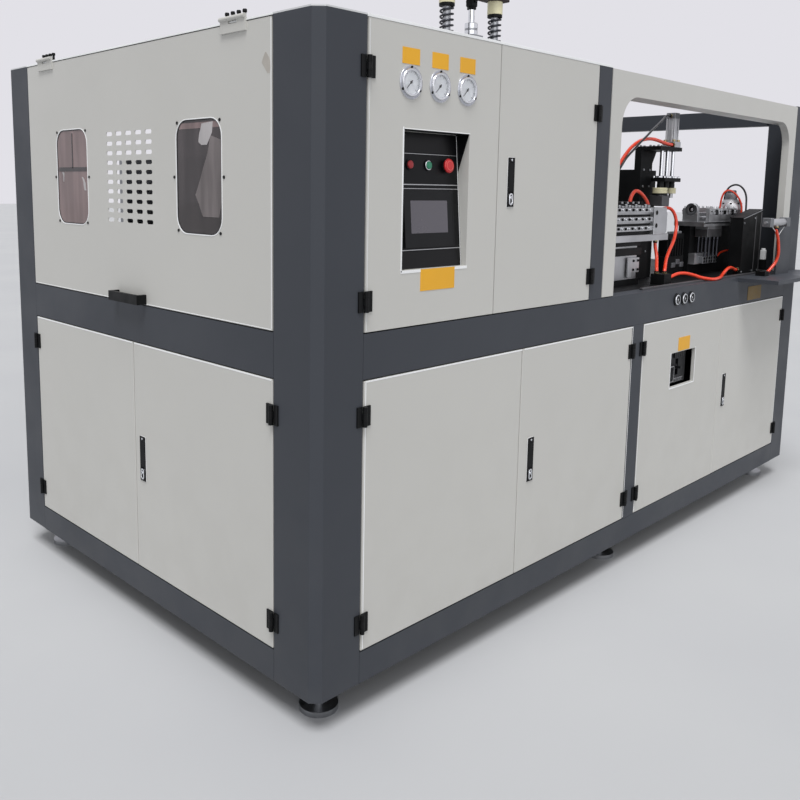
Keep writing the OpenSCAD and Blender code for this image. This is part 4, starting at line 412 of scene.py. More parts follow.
# Black film of the title strips; the same black sheets paint the recess's shade.
BLACK_GLOSS = plastic("black_title_film_and_painted_shade", srgb(12, 12, 14), 0.30, scale=30, gloss=0.22)
BLACK_FILM = plastic("black_panel_film", srgb(12, 13, 15), 0.36, scale=30, gloss=0.18)
STEEL = metal("machined_steel", srgb(158, 160, 163), 0.36, (1, 1, 14), spread=0.04)
CHROME = metal("chrome_plate", srgb(224, 226, 229), 0.14, spread=0.03, grain=0.000008)
ALLOY = metal("light_alloy", srgb(190, 191, 193), 0.42, (14, 1, 1), spread=0.16)
POLISHED = metal("polished_flange", srgb(184, 186, 192), 0.26, spread=0.10)
CAST = metal("cast_alloy", srgb(128, 130, 133), 0.52, grain=0.0002, spread=0.2)
BRASS = metal("brass", srgb(172, 156, 116), 0.34)
SPRING = metal("oiled_spring_steel", srgb(66, 67, 72), 0.36)
PALE_SMOKED = pane("pale_smoked_sheet", srgb(144, 124, 123), 0.08, 0.3, 0.22)
DARK_SMOKED = pane("dark_smoked_sheet", srgb(74, 68, 69), 0.06, 0.4, 0.3)
FILM = pane("hanging_film", srgb(116, 109, 109), 0.30, 0.1, 0.3)
# White film; the same white paints the highlights on the pale window's folds.
WHITE_FILM_AND_HIGHLIGHT = pane("white_film_and_fold_highlight", srgb(182, 178, 179), 0.30, 0.1, 0.12)
CLEAR = pane("clear_glass", srgb(254, 255, 255), 0.02, 1, 0)
DARK_RED_CAP = plastic("dark_red_cap", srgb(150, 22, 28), 0.32, coat=0.2)
RED = plastic("red_cap", srgb(196, 30, 34), 0.30, coat=0.3)
GREEN = plastic("green_cap", srgb(16, 122, 88), 0.30, coat=0.3)
YELLOW = plastic("yellow_plate_film", srgb(228, 168, 36), 0.42, scale=24)
# Dark brownish yellow: painted shade on the rail's film, which lies in the shelf's shadow.
SHADED_YELLOW = plastic("yellow_film_painted_shade", srgb(112, 88, 30), 0.55, spread=0.25, scale=60)
SCREEN = plastic("grey_screen_film", srgb(84, 81, 88), 0.24, coat=0.2, scale=20)
WORN = plastic("worn_primer", srgb(170, 165, 158), 0.6, spread=0.16, scale=90)
# Pale red: a painted highlight on the emergency stop.
PALE_RED_HIGHLIGHT = plastic("pale_red_painted_highlight", srgb(236, 112, 104), 0.4)
CREAM = plastic("cream_nylon", srgb(222, 216, 180), 0.40)
WHITE_DIAL = plastic("white_dial", srgb(248, 250, 255), 0.40, spread=0.02, scale=20)
# White of trims, rims and small white parts; the same white paints the highlights on bent edges, the roof's
# edge and the locks.
WHITE_TRIM_AND_HIGHLIGHT = plastic("white_trim_and_painted_highlight", srgb(236, 237, 238), 0.45, scale=20)
GREY_HEAD = metal("grey_gripping_head", srgb(104, 104, 106), 0.5, spread=0.15)
ORANGE_HOSE = plastic("orange_air_hose", srgb(232, 66, 34), 0.28, coat=0.2, spread=0.08)
BLACK_HOSE = plastic("black_air_hose", srgb(22, 22, 25), 0.30, coat=0.2)
DARK_RED = plastic("browned_plate", srgb(40, 26, 28), 0.45, spread=0.2, gloss=0.3)


# Air hoses: points [u, v, height above the bed], as laid out with the transfer

HOSES = {
    "bed": (7, ORANGE_HOSE, [[1993, 105, 14], [2012, 105, 14], [2045, 98, 28], [2082, 88, 38],
        [2122, 76, 38], [2160, 58, 30], [2196, 36, 18], [2250, 16, 10], [2300, 14, 10], [2360, 26, 12],
        [2412, 42, 17], [2452, 50, 27], [2496, 56, 38], [2541, 62, 41], [2590, 70, 34], [2622, 74, 26],
        [2645, 74, 26]]),
    "head": (7, ORANGE_HOSE, [[2100, 265, 290], [2100, 250, 290], [2122, 238, 292], [2150, 226, 298],
        [2178, 213, 308], [2204, 201, 306], [2222, 190, 284], [2226, 181, 248], [2206, 171, 208],
        [2162, 158, 166], [2108, 146, 132], [2062, 134, 102], [2018, 116, 76], [1992, 104, 62],
        [1982, 100, 54], [1982, 100, 44]]),
    "drop": (7, ORANGE_HOSE, [[2014, 165, 177], [2014, 165, 158], [2012, 160, 138], [2004, 150, 112],
        [1988, 140, 90], [1970, 130, 72], [1957, 122, 58], [1957, 122, 44]]),
    "lift": (7, ORANGE_HOSE, [[1280, 60, 480], [1280, 90, 480], [1330, 130, 470], [1460, 145, 456],
        [1600, 165, 456], [1680, 178, 466], [1728, 185, 488], [1764, 185, 519], [1811, 186, 551],
        [1869, 187, 576], [1931, 188, 589], [1985, 189, 592], [2040, 190, 588], [2095, 191, 581],
        [2140, 191, 577], [2172, 191, 577]]),
    "top": (4.5, BLACK_HOSE, [[1265, 60, 430], [1265, 95, 430], [1320, 120, 424], [1460, 132, 420],
        [1600, 150, 424], [1660, 168, 438], [1714, 176, 467], [1755, 174, 507], [1812, 172, 545],
        [1866, 172, 578], [1915, 176, 602], [1960, 181, 624], [2030, 192, 652], [2101, 205, 681],
        [2128, 211, 694], [2152, 212, 700], [2180, 212, 700]]),
    "arc": (7, ORANGE_HOSE, [[1848, 200, 313], [1848, 200, 334], [1857, 200, 356], [1876, 200, 374],
        [1899, 200, 380], [1929, 200, 373], [1960, 200, 358], [1986, 200, 340], [1998, 200, 326],
        [1998, 200, 313]]),
    "dome": (4.5, ORANGE_HOSE, [[2812, 246, 245], [2812, 246, 290], [2811, 244, 330], [2810, 238, 360],
        [2811, 228, 381], [2816, 214, 390], [2824, 198, 386], [2836, 182, 370], [2848, 168, 345],
        [2855, 160, 315], [2856, 159, 280], [2856, 159, 245]]),
    "loop": (4.5, BLACK_HOSE, [[2918, 274, 245], [2918, 274, 320], [2919, 270, 370], [2920, 258, 400],
        [2921, 240, 414], [2921, 220, 418], [2922, 200, 412], [2922, 180, 392], [2922, 168, 362],
        [2922, 165, 320], [2922, 165, 245]]),
    "box": (4.5, ORANGE_HOSE, [[2704, 221.5, 61], [2704, 211, 61], [2701, 197, 75], [2699, 182, 94],
        [2694, 160, 104], [2684, 142, 109], [2673, 130, 111], [2673, 120, 111]]),
    "shelf": (7, ORANGE_HOSE, [[2719, -60, 228], [2719, -60, 214], [2736, -60, 194], [2754, -60, 166],
        [2764, -60, 138], [2770, -60, 110], [2774, -56, 84], [2768, -50, 60], [2748, -41, 36],
        [2728, -33, 18], [2716, -30, 12], [2706, -30, 12]]),
}


def make_hoses():
    """Each hose is a tube along its smooth path; its length is the path's own."""
    brass, sleeves = [], []
    for name, (radius, material, points) in HOSES.items():
        path = smooth_path(np.array(points) + [0, 0, BED_Z], 6)
        made = piece("hose_" + name, tube(path, radius, 16), material)
        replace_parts(made, "air_hoses")
        for end, inner in ((path[0], path[1]), (path[-1], path[-2])):
            axes = square_axes(inner - end)
            nut = [(0, -1), (0, 5), (1, 5.6), (radius, 5.6)]
            brass.append(carried(hexagon(2 * radius + 5), nut, end, axes))
            sleeve = [(0, 5.4), (radius + 2.2, 5.4), (radius + 2.4, 9.6), (radius + 1.6, 11), (0, 11)]
            sleeves.append(turned(sleeve, end, axes, 24))
    piece("hose_fittings", brass, BRASS)
    piece("hose_sleeves", sleeves, BLACK_PART)


def square_axes(out):
    """Three directions at right angles, the last one along out."""
    out = np.asarray(out, float) / np.linalg.norm(out)
    side = np.cross([0, 0, 1] if abs(out[2]) < 0.9 else [1, 0, 0], out)
    side /= np.linalg.norm(side)
    return np.array([side, np.cross(out, side), out])


make_hoses()


# Materials of the frame's own solids

LOWER_DOORS = [f"lower_door_{k}" for k in (1, 2, 3, 4)]
NODE_FINISH = {
    PAINT_DARK: ["posts", "frame_rails", "shelf"],
    PAINT_ROOF_HIGHLIGHT: ["roof_plate"],
    PAINT_PALE: ["window_panel", "cladding_panels", "end_flap", "upper_door_left", "upper_door_right",
                 "end_door_left", "end_door_right", *LOWER_DOORS],
    HINGE: ["hinge_mounts", "flap_fittings"],
    BLACK_METAL: ["upper_door_left_hinges", "upper_door_right_fittings", "end_door_left_hinges",
                  "end_door_right_fittings", "lower_door_1_hinges", "lower_door_2_fittings",
                  "lower_door_3_hinges", "lower_door_4_fittings", "upper_lock_lever", "lower_door_2_lever",
                  "lower_door_4_lever", "end_door_lever", "transfer_brackets", "bed_plate"],
    BLACK_PART: ["touch_screen", "main_switch_lever", "electrics",
                 *(f"{part}_{k}" for part in ("rail_button", "gauge_needle") for k in (1, 2, 3))],
    BLACK_FILM: ["control_plate"],
    STEEL: ["levelling_feet", "stretch_base", "clamp_frame", "moving_platen", "transfer_lift",
            "heating_station"],
    ALLOY: ["transfer_plates", "gripper_front", "gripper_rear", "shelf_cylinder"],
    CHROME: ["gauge_bodies"],
    SPRING: ["stretch_springs"],
    DARK_SMOKED: ["flap_panes"],
    DARK_RED_CAP: ["red_button"],
    RED: ["emergency_stop"],
    GREEN: ["green_button"],
    YELLOW: ["yellow_plates"],
    DARK_RED: ["stretch_plate"],
    ORANGE_HOSE: ["air_hoses"],
}


def dress_nodes():
    """Every solid of the frame takes its finish."""
    for material, names in NODE_FINISH.items():
        for name in names:
            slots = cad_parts[name].data.materials
            slots.clear()
            slots.append(material)


dress_nodes()

EASED = ["lower_door_1", "lower_door_2", "lower_door_4", "end_door_left", "end_door_right", "posts"]
WELD_GAP, EDGE_EASE, SHARP_ANGLE = 0.00002, 0.0018, math.radians(40)


def ease_edges():
    """Sheet edges and post corners are rounded a little, so that they catch the light."""
    for name in EASED:
        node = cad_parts[name]
        weld = node.modifiers.new("joined", "WELD")
        weld.merge_threshold = WELD_GAP
        bevel = node.modifiers.new("eased", "BEVEL")
        bevel.width, bevel.segments, bevel.use_clamp_overlap = EDGE_EASE, 2, True
        bevel.limit_method, bevel.angle_limit = "ANGLE", SHARP_ANGLE


ease_edges()


# Gauges

GAUGES = [(318 + 115 * k, UPPER_Z + 645) for k in range(3)]
FLANGE_R, RIM_R, DIAL_R, SCREW_CIRCLE_R = 43, 36, 31.5, 38.6
MARKS, FIRST_MARK, MARK_SWEEP = 40, 225, 270


def dial_marks(u, z):
    """Short and long radial marks over 270 degrees of the dial, each a thin bar."""
    marks, outer = [], DIAL_R - 1.5
    for k in range(MARKS + 1):
        a = math.radians(FIRST_MARK - MARK_SWEEP * k / MARKS)
        inner, w = (DIAL_R - 7.5, 0.7) if k % 5 == 0 else (DIAL_R - 4.5, 0.3)
        axes = np.array([[math.cos(a), 0, math.sin(a)], [-math.sin(a), 0, math.cos(a)], [0, -1, 0]])
        at = np.array([u, 0, z]) + (inner + outer) / 2 * axes[0]
        marks.append(carried((outer - inner, w), [(0, 0.5), (0, 0.75)], at, axes))
    return marks


def make_gauges():
    """Flange with three dark screws, bright rim, white dial with marks, and a thin glass."""
    flanges, rims, dials, marks, glasses, screws = [], [], [], [], [], []
    step, wall, dial_r = FLANGE_R - RIM_R + 0.6, RIM_R - DIAL_R, DIAL_R - 0.1
    for u, z in GAUGES:
        at = (u, 0, z)
        flanges.append(carried(circle(FLANGE_R, 72), [(0, 0.2), (0, 1.6), (1, 3.2), (3.4, 4), (step, 2.6),
                (step, 0.2)], at, FRONT, closed=True))
        rims.append(carried(circle(RIM_R, 64), [(0, 1), (0, 6), (1.4, 7.4), (wall - 0.6, 7), (wall, 5.4),
                (wall, 1)], at, FRONT, closed=True))
        dials.append(turned([(0, 0.05), (dial_r, 0.05), (dial_r, 0.5), (0, 0.5)], at, FRONT))
        marks += dial_marks(u, z)
        glasses.append(turned([(0, 4.4), (dial_r, 4.2), (dial_r, 5.2), (0, 6)], at, FRONT))
        for a in map(math.radians, (90, 210, 330)):
            spot = (u + SCREW_CIRCLE_R * math.cos(a), 0, z + SCREW_CIRCLE_R * math.sin(a))
            screws.append(turned([(0, 3), (3.4, 3), (3.4, 4.8), (2.6, 5.6), (0, 5.9)], spot, FRONT, 20))
    for name, blocks, material, crease in (("flanges", flanges, POLISHED, 50), ("rims", rims, CHROME, 50),
            ("dials", dials, WHITE_DIAL, 35), ("marks", marks, BLACK_PART, 35),
            ("glasses", glasses, CLEAR, 35), ("screws", screws, BLACK_METAL, 35)):
        piece("gauge_" + name, blocks, material, "upper_left_door", crease=crease)


# Control panel

PLATE_W, PLATE_OUT = 266, 3
BUTTON_UP, BUTTON_AT = 281, (64, 139, 214)


def make_panel():
    """Edge of the recess, painted shade under its top and in its upper corner, strips and films on the
    plate, buttons and the screen unit.
    """
    door, middle = "upper_left_door", PLATE_W / 2
    wide, high = RECESS_RIGHT - RECESS_LEFT, RECESS_TOP - RECESS_LOW
    middle_u, middle_z = (RECESS_LEFT + RECESS_RIGHT) / 2, (RECESS_LOW + RECESS_TOP) / 2
    edges = [slab((w, h), 0.9, (u, 0, z), FRONT, 0.3) for u, z, w, h in (
        (RECESS_LEFT - 2.5, middle_z, 5, high + 10), (middle_u, RECESS_LOW - 4, wide + 8, 8),
        (middle_u, RECESS_TOP + 1.2, wide + 4, 2.4))]
    edges.append(slab((1.6, 366), 0.8, on_panel(PLATE_W - 1.2, 183, PLATE_OUT), PANEL, 0.2))
    piece("recess_edge", edges, WHITE_TRIM_AND_HIGHLIGHT, door)
    # Black sheets paint the shade under the recess's top and in the upper corner of its right wall.
    wall, ceiling = np.array([UP[1], UP[2], -UP[0]]), np.array([UP[0], UP[1], -UP[2]])
    corner = flat_sheet([[1.5, 0], [47, 0], [40, -112], [34, -92]], 0.5,
            (RECESS_RIGHT, 0, RECESS_TOP - 0.8), wall)
    above = flat_sheet([[1, 1.5], [wide - 1, 1.5], [wide - 1, 48], [1, 48]], 0.5,
            (RECESS_LEFT, 0, RECESS_TOP), ceiling)
    piece("recess_painted_shade", [corner, above], BLACK_GLOSS, door)
    piece("panel_strips", [slab((PLATE_W - 3, h), 0.6, on_panel(middle, up, PLATE_OUT), PANEL, 0.2)
            for up, h in ((311, 1.6), (228, 2.6), (217, 2), (51, 2.2))], ALLOY, door)
    piece("panel_films", [slab((PLATE_W - 3, h, 1), 0.9, on_panel(middle, up, PLATE_OUT - 0.4), PANEL, 0.3)
            for up, h in ((340, 50), (24, 46))], BLACK_GLOSS, door)
    collars = [ring(r, 11.2, PLATE_OUT + 0.1, PLATE_OUT + h, on_panel(at, BUTTON_UP), PANEL, 1, 40)
               for at, r, h in zip(BUTTON_AT, (14.5, 13.6, 16), (2.4, 4.6, 4.2))]
    piece("dark_collars", collars[::2], BLACK_PART, door, crease=50)
    piece("pale_collar", collars[1], CHROME, door, crease=50)
    for name, at, material in (("red_button", BUTTON_AT[0], DARK_RED_CAP),
            ("green_button", BUTTON_AT[1], GREEN)):
        cap = turned([(0, 3.5), (10.9, 3.5), (10.9, 9.2), (9.9, 10.4), (7, 11.1), (0, 11.6)],
                on_panel(at, BUTTON_UP), PANEL, 40)
        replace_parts(piece(name + "_cap", cap, material, name, crease=50), name)
    stop_at = on_panel(BUTTON_AT[2], BUTTON_UP)
    stop = turned([(0, 3.5), (10.9, 3.5), (10.9, 10.5), (17, 11.2), (19.6, 13), (20, 16), (18.6, 18.6),
            (14.5, 20), (8, 20.6), (0, 20.8)], stop_at, PANEL, 48)
    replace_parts(piece("emergency_stop_cap", stop, RED, "emergency_stop", crease=60), "emergency_stop")
    # A pale red ring paints the highlight on the stop's rounded top.
    piece("stop_ring_highlight", ring(13.4, 12.2, 20, 20.9, stop_at, PANEL, 0.2, 40), PALE_RED_HIGHLIGHT, "emergency_stop")
    bezel = carried((204, 158, 5), [(0, 3.2), (0, 7.2), (1.2, 8.4), (18, 8.4), (24, 7.4), (24.5, 6.6)],
            on_panel(134, 136), PANEL)
    rim = carried((204.6, 158.6, 5), [(0, 3), (0, 4), (0.6, 4.4), (1, 3)], on_panel(134, 136), PANEL,
            closed=True)
    piece("screen_bezel", [bezel, rim], BLACK_PART, door)
    piece("screen_glass", slab((151, 89, 1.5), 1, on_panel(133, 140, 7.6), PANEL, 0.3), SCREEN, door)


# Locks: body, axes, middle

LOCKS = [("upper_right_door", FRONT, (764, 0, UPPER_MID_Z)), ("lower_door_2", FRONT, (924, 0, LOWER_MID_Z)),
         ("lower_door_4", FRONT, (2404, 0, LOWER_MID_Z)), ("end_right_door", END, (0, 842, LOWER_MID_Z))]


def make_locks():
    """Each flush lock gets an oval chromed barrel with a keyhole, a small screw and a pale outline that
    paints the highlight on the lock's edge.
    """
    for body, axes, at in LOCKS:
        low, high, plug_at = at - 50 * UP[2], at + 66 * UP[2], at - 45 * UP[2]
        barrel = carried((19, 36, 9.4), [(0, 0.5), (0, 5), (1, 5.8), (4.4, 5.8), (5, 5)], low, axes)
        plug = carried(circle(5.2, 24), [(0, 5), (0, 7), (0.8, 7.6)], plug_at, axes)
        screw = turned([(0, 3), (3.6, 3), (3.6, 4), (2.8, 4.6), (0, 4.8)], high, axes, 20)
        # A pale outline round the face plate paints the highlight on the lock's edge.
        edge_highlight = carried((33.4, 148.4, 3), [(0, 0.1), (0, 0.9), (1.1, 0.9), (1.1, 0.1)], at, axes, closed=True)
        piece(body + "_barrel", [barrel, plug, screw], CHROME, body)
        piece(body + "_keyhole", slab((2.2, 7, 0.8, 3), 0.5, plug_at, axes, 0.1, 7.3), BLACK_METAL, body)
        piece(body + "_lock_edge_highlight", edge_highlight, WHITE_TRIM_AND_HIGHLIGHT, body)


def make_roof_edge_highlight():
    """Painted highlight: white strips along the roof's edge over the upper doors and the end, and black
    screws on the flap's hinges.
    """
    piece("roof_edge_highlight", [slab((1160, 7.5), 5, (740, 0, 1856.5), FRONT, 0.5, -4),
            slab((1440, 5), 2, (0, 890, 1857), END, 0.4, -0.6)], WHITE_TRIM_AND_HIGHLIGHT)
    stem = [(0, 0), (6.5, 0), (6.5, 6), (4, 7), (4, 19), (6, 20), (6, 26), (4.6, 28), (0, 28.4)]
    piece("flap_hinge_screws", [turned(stem, (15, BODY_W - hinge - x, ROOF_Z), UP, 16)
            for hinge in (332, 1448) for x in (-50, -24, 2, 28)], BLACK_METAL)


# Painted highlights along the bends of the front's sheets: body, middle (u, z), size

TOP_BENDS, SIDE_BENDS, TOP_BEND_Z = (514, 1216, 1990, 2692), (170.5, 1560.5, 1645.5, 3034.5), 938.5
BENDS = ([(f"lower_door_{k + 1}", u, TOP_BEND_Z, 690, 4.5) for k, u in enumerate(TOP_BENDS)]
         + [(f"lower_door_{k + 1}", u, LOWER_MID_Z, 3, 740) for k, u in enumerate(SIDE_BENDS)]
         + [("upper_left_door", 170, UPPER_MID_Z, 2, 776)])


def make_bend_highlights():
    """Painted highlights along the bent edges of the doors and the flap, painted shade in the flap's lower
    gap, and its worn corner.
    """
    # White strips paint the highlights that the light lays on the doors' bent edges.
    for k, (body, u, z, w, h) in enumerate(BENDS):
        piece(f"door_bend_highlight_{k + 1}", slab((w, h, 1.2), 0.5, (u, 0, z), FRONT, 0.2, -0.1), WHITE_TRIM_AND_HIGHLIGHT, body)
    # White strips paint the highlights on the end doors' upper bent edges.
    for side in ("left", "right"):
        low, high = solid_box("end_door_" + side)
        at = (0, (low[1] + high[1]) / 2, high[2] - 2.6)
        strip = slab((high[1] - low[1] - 8, 4.5, 1.2), 0.5, at, END, 0.2, -0.1)
        piece(f"end_door_bend_highlight_{side}", strip, WHITE_TRIM_AND_HIGHLIGHT, f"end_{side}_door")
    low, high = solid_box("end_flap")
    wide, middle = high[1] - low[1] - 8, (low[1] + high[1]) / 2
    # White strips paint the highlights on the flap's bent edges.
    upright = slab((3, 776, 1.2), 0.5, (0, low[1] + 2.5, UPPER_MID_Z), END, 0.2, -0.1)
    across = slab((wide, 2.2, 1), 0.5, (0, middle, low[2] + 2.5), END, 0.2, -0.1)
    piece("flap_bend_highlights", [upright, across], WHITE_TRIM_AND_HIGHLIGHT, "end_flap")
    # A black strip behind the flap's lower edge paints the shade in its gap.
    piece("flap_gap_shade", slab((wide, 3, 0.8), 9, (0, middle, low[2] - 1.4), END, 0.5, -10), BLACK_PART,
            "end_flap")
    left = np.array([[-6, 26], [-15, 12], [-20, 2], [-8, -12], [4, -26]], float)
    right = np.array([[-2, 26], [10, 12], [14, 2], [15, -12], [12, -26]], float)
    piece("worn_corner", sheet_between(left, right, (0, low[1] + 20, 1742), 0.1), WORN, "end_flap")


def make_window_head():
    """Pale closing strip under the top rail, level with the folded upper edge of the big window."""
    low, high = solid_box("window_panel")
    at = ((low[0] + high[0]) / 2, 58, high[2] - 82)
    piece("window_head", slab((high[0] - low[0] - 6, 50, 1), 6.2, at, UP, 0.6), PAINT_PALE)


RAIL_BUTTONS = [(u, 0, 1015) for u in (1897, 1960, 2023)]


def make_rail_buttons():
    """Bright rims round the three rail buttons and a light mark on each cap."""
    piece("rail_button_rims", [ring(20.4, 16, 5.4, 8.6, at, FRONT, 1.6, 32) for at in RAIL_BUTTONS], CHROME)
    piece("rail_button_collars", [ring(25.5, 19.4, 0.1, 4.4, at, FRONT, 1.2, 32) for at in RAIL_BUTTONS],
            BLACK_PART)
    for k, (u, _, z) in enumerate(RAIL_BUTTONS):
        body = f"rail_button_{k + 1}"
        low, _ = solid_box(body)
        mark = turned([(0, 0), (4, 0), (4, 0.6), (0, 1)], (u, low[1], z), FRONT, 20)
        piece(f"rail_button_mark_{k + 1}", mark, CHROME, body)


def make_yellow_plates():
    """Bare yellow films on the middle rail and over the cut-out of the third lower door; the rail's film is
    darkened as painted shade.
    """
    # The darkened yellow is painted shade on the rail's film.
    piece("rail_plate", slab((151, 63, 2), 1.4, (2677, 0, 986), FRONT, 0.3), SHADED_YELLOW)
    piece("door_plate", slab((101, 55, 2), 1.4, (1990, 0, 828), FRONT, 0.3), YELLOW, "lower_door_3")


# Windows of the flap, and the films behind them: name, material, window, depth, left edge, right edge

PALE_WINDOW, DARK_WINDOW = (np.array([0, v, UPPER_MID_Z]) for v in (1276, 504))
WINDOW_W, WINDOW_H, WINDOW_R, FILM_T = 224, 318, 50, 0.3
FILMS = [("hanging_film", FILM, DARK_WINDOW, -1.8,
          [[56, 114], [40, 60], [10, 0], [-21, -50], [0, -75], [16, -109]],
          [[106, 100], [110, 40], [110, 0], [109, -50], [108, -75], [96, -109]]),
         ("torn_film", WHITE_FILM_AND_HIGHLIGHT, DARK_WINDOW, -1.3, [[16, 146], [4, 120], [2, 96], [12, 88]],
          [[70, 150], [66, 120], [50, 98], [40, 88]]),
         ("top_film", PALE_SMOKED, DARK_WINDOW, -1.8, [[-92, 150], [-100, 134]], [[90, 150], [104, 134]]),
         # Two white strips paint the highlights on the glossy folds of the pale window's film.
         ("fold_streak_1", WHITE_FILM_AND_HIGHLIGHT, PALE_WINDOW, -1.8, [[-80, 16], [-72, 2], [-70, -16]],
          [[-64, 16], [-64, 2], [-66, -16]]),
         ("fold_streak_2", WHITE_FILM_AND_HIGHLIGHT, PALE_WINDOW, -1.8, [[66, 0], [76, -18], [84, -44]],
          [[76, 0], [92, -20], [97, -44]])]


def sheet_between(left, right, at, low):
    """A thin sheet on the end's face between two lines: P(i, s) = at + (1 - s) left_i + s right_i."""
    flat = np.stack([left, right], 1)
    under, over = (flat[..., :1] * END[0] + flat[..., 1:] * END[1] + d * END[2] for d in (low, low + FILM_T))
    return skin(np.concatenate([under, over[:, ::-1]], 1) + at)


def make_panes():
    """Two sheets behind the flap's windows, pale and dark, with white rims, seals, bars, loose films and
    painted highlights on the pale film's folds.
    """
    rims, seals = [], []
    for name, at, material in (("pale", PALE_WINDOW, PALE_SMOKED), ("dark", DARK_WINDOW, DARK_SMOKED)):
        sheet = slab((264, 358, 60), 4, at, END, 0.4, -6)
        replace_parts(piece(name + "_pane", sheet, material, "end_flap"), "flap_panes")
        rims.append(carried((WINDOW_W + 5, WINDOW_H + 5, WINDOW_R + 2.5),
                [(0, 0.1), (0, 0.8), (0.4, 1.1), (2.4, 1.1), (2.9, 0.6), (2.9, -1.9), (1, -1.9)], at, END,
                closed=True))
        seals.append(carried((WINDOW_W, WINDOW_H, WINDOW_R), [(0, -2), (0, -0.6), (3, -1), (3.4, -2)], at,
                END, closed=True))
    piece("window_rims", rims, WHITE_TRIM_AND_HIGHLIGHT, "end_flap")
    piece("window_seals", seals, BLACK_PART, "end_flap")
    piece("pane_bars", [slab((7, 118, 1), 1, PALE_WINDOW + [0, -2, 88], END, 0.2, -1.9),
            slab((205, 14, 1), 1, PALE_WINDOW + [0, 0, 26], END, 0.2, -1.9)], DARK_SMOKED, "end_flap")
    for name, material, at, depth, *edges in FILMS:
        steps = np.linspace(0, len(edges[0]) - 1, 8 * len(edges[0]))
        left, right = (np.stack([np.interp(steps, range(len(edge)), np.array(edge, float)[:, k])
                for k in (0, 1)], -1) for edge in edges)
        wave = np.stack([1.6 * np.sin(2.7 * steps), 0 * steps], -1)
        piece(name, sheet_between(left + wave, right + wave / 2, at, depth), material, "end_flap")


POLES = [1968 + 17 * k for k in range(5)]


def make_breaker():
    """White lip round the cut-out and a pale framed breaker with terminals behind it."""
    piece("cut_out_lip", [slab((w, h), 1, (u, 0, z), FRONT, 0.3) for u, z, w, h in (
        (1990, 652, 220, 5), (2099.5, 725.5, 4, 150), (1880.5, 725.5, 3, 150))], WHITE_TRIM_AND_HIGHLIGHT, "lower_door_3")
    rim = carried((50, 66, 3), [(0, 0.2), (0, 5), (0.8, 5.6), (5.4, 5.6), (6, 0.2)], (1936, 26, 700), FRONT,
            closed=True)
    feet = [slab((13, 15, 2), 4, (u, 26, 672), FRONT, 0.5) for u in POLES]
    piece("breaker_rim", [rim] + feet, ALLOY)
    poles = [slab((9, 12, 1), 1, (u, 26, 672), FRONT, 0.2, 3.8) for u in POLES]
    blocks = [slab((15, 26, 1.5), 5, (u, 26, 778), FRONT, 0.8) for u in POLES]
    piece("breaker_poles", poles + blocks, BLACK_PART)


# Stretch unit on the roof

STRETCH_U, STRETCH_V, PILLAR_HALF = 1048, 400, 131
SPRING_LOW, SPRING_TOP, SPRING_R, WIRE_R, COILS = 1872, 2045, 25, 3.5, 9
RING_TOP, PLATE_LOW, PLATE_TOP = 2055, 2100, 2120


def coil(u):
    """A spring's line: (R cos 2 pi n t, R sin 2 pi n t, z) with z from end to end of its free length."""
    t = np.linspace(0, 1, COILS * 22 + 1)
    a, r = 2 * math.pi * COILS * t, SPRING_R - WIRE_R
    height = SPRING_LOW + WIRE_R + (SPRING_TOP - SPRING_LOW - 2 * WIRE_R) * t
    return tube(np.stack([u + r * np.cos(a), STRETCH_V + r * np.sin(a), height], -1), WIRE_R, 8)


def make_stretch_unit():
    """Springs, black rings, cream bushes, a dark plate, clevis, rod, lock nut and gland."""
    moving, axis = "stretch_plate", (STRETCH_U, STRETCH_V, 0)
    pillars = [(STRETCH_U + k * PILLAR_HALF, STRETCH_V, 0) for k in (-1, 1)]
    springs = piece("springs", [coil(at[0]) for at in pillars], SPRING, crease=80)
    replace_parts(springs, "stretch_springs")
    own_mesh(springs)
    plate = slab((342, 70, 4), PLATE_TOP - PLATE_LOW, (STRETCH_U, STRETCH_V, PLATE_LOW), UP, 1.5)
    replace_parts(piece("slide_plate", plate, DARK_RED, moving), "stretch_plate")
    rings = [ring(26.6, 14.3, SPRING_TOP, RING_TOP, at, UP, 1.2) for at in pillars]
    piece("spring_rings", rings, BLACK_METAL, moving)
    bushes = [ring(27, 14.3, RING_TOP, PLATE_LOW, at, UP, 1.5) for at in pillars]
    piece("guide_bushes", bushes, CREAM, moving)
    fork = slab((30, 30, 4), 37.5, (STRETCH_U, STRETCH_V, 2063), UP, 2)
    nut = turned([(0, 2053.5), (15, 2053.5), (16, 2055), (16, 2062), (15, 2063.2), (0, 2063.2)], axis, UP, 6)
    pin = carried(circle(7, 24), [(0.8, -21), (0, -20), (0, 20), (0.8, 21)],
            (STRETCH_U, STRETCH_V, 2082), FRONT)
    piece("clevis", [fork, nut, pin], BLACK_METAL, moving)
    rod = turned([(0, 1987), (10.9, 1987), (10.9, 2056), (0, 2056)], axis, UP)
    piece("stretch_rod", rod, CHROME, moving)
    gland = carried(circle(22.6), [(1.4, 2007.6), (0, 2006), (0, 1990), (2.2, 1988.5), (2.2, 1984),
            (0, 1982.5), (0, 1967.2), (11.3, 1967.2), (11.3, 2007.6)], axis, UP, closed=True)
    piece("rod_gland", gland, CHROME, crease=30)
    piece("pillar_nuts", [ring(19, 14.2, PLATE_TOP + 2, PLATE_TOP + 14, at, UP, 1, 6) for at in pillars],
            STEEL)
    piece("base_screws", screw_heads([(STRETCH_U + x, STRETCH_V + y, 1872) for x in (-66, -46, 46, 66)
            for y in (-22, 22)], UP), BLACK_METAL)


# Transfer behind the window

LIFT_V, LIFT_RODS, LIFT_HEAD_U, LIFT_NOZZLE_U, LIFT_CYLINDER_U = 212, (2120, 2170, 2220), 2120, 2220, 2200


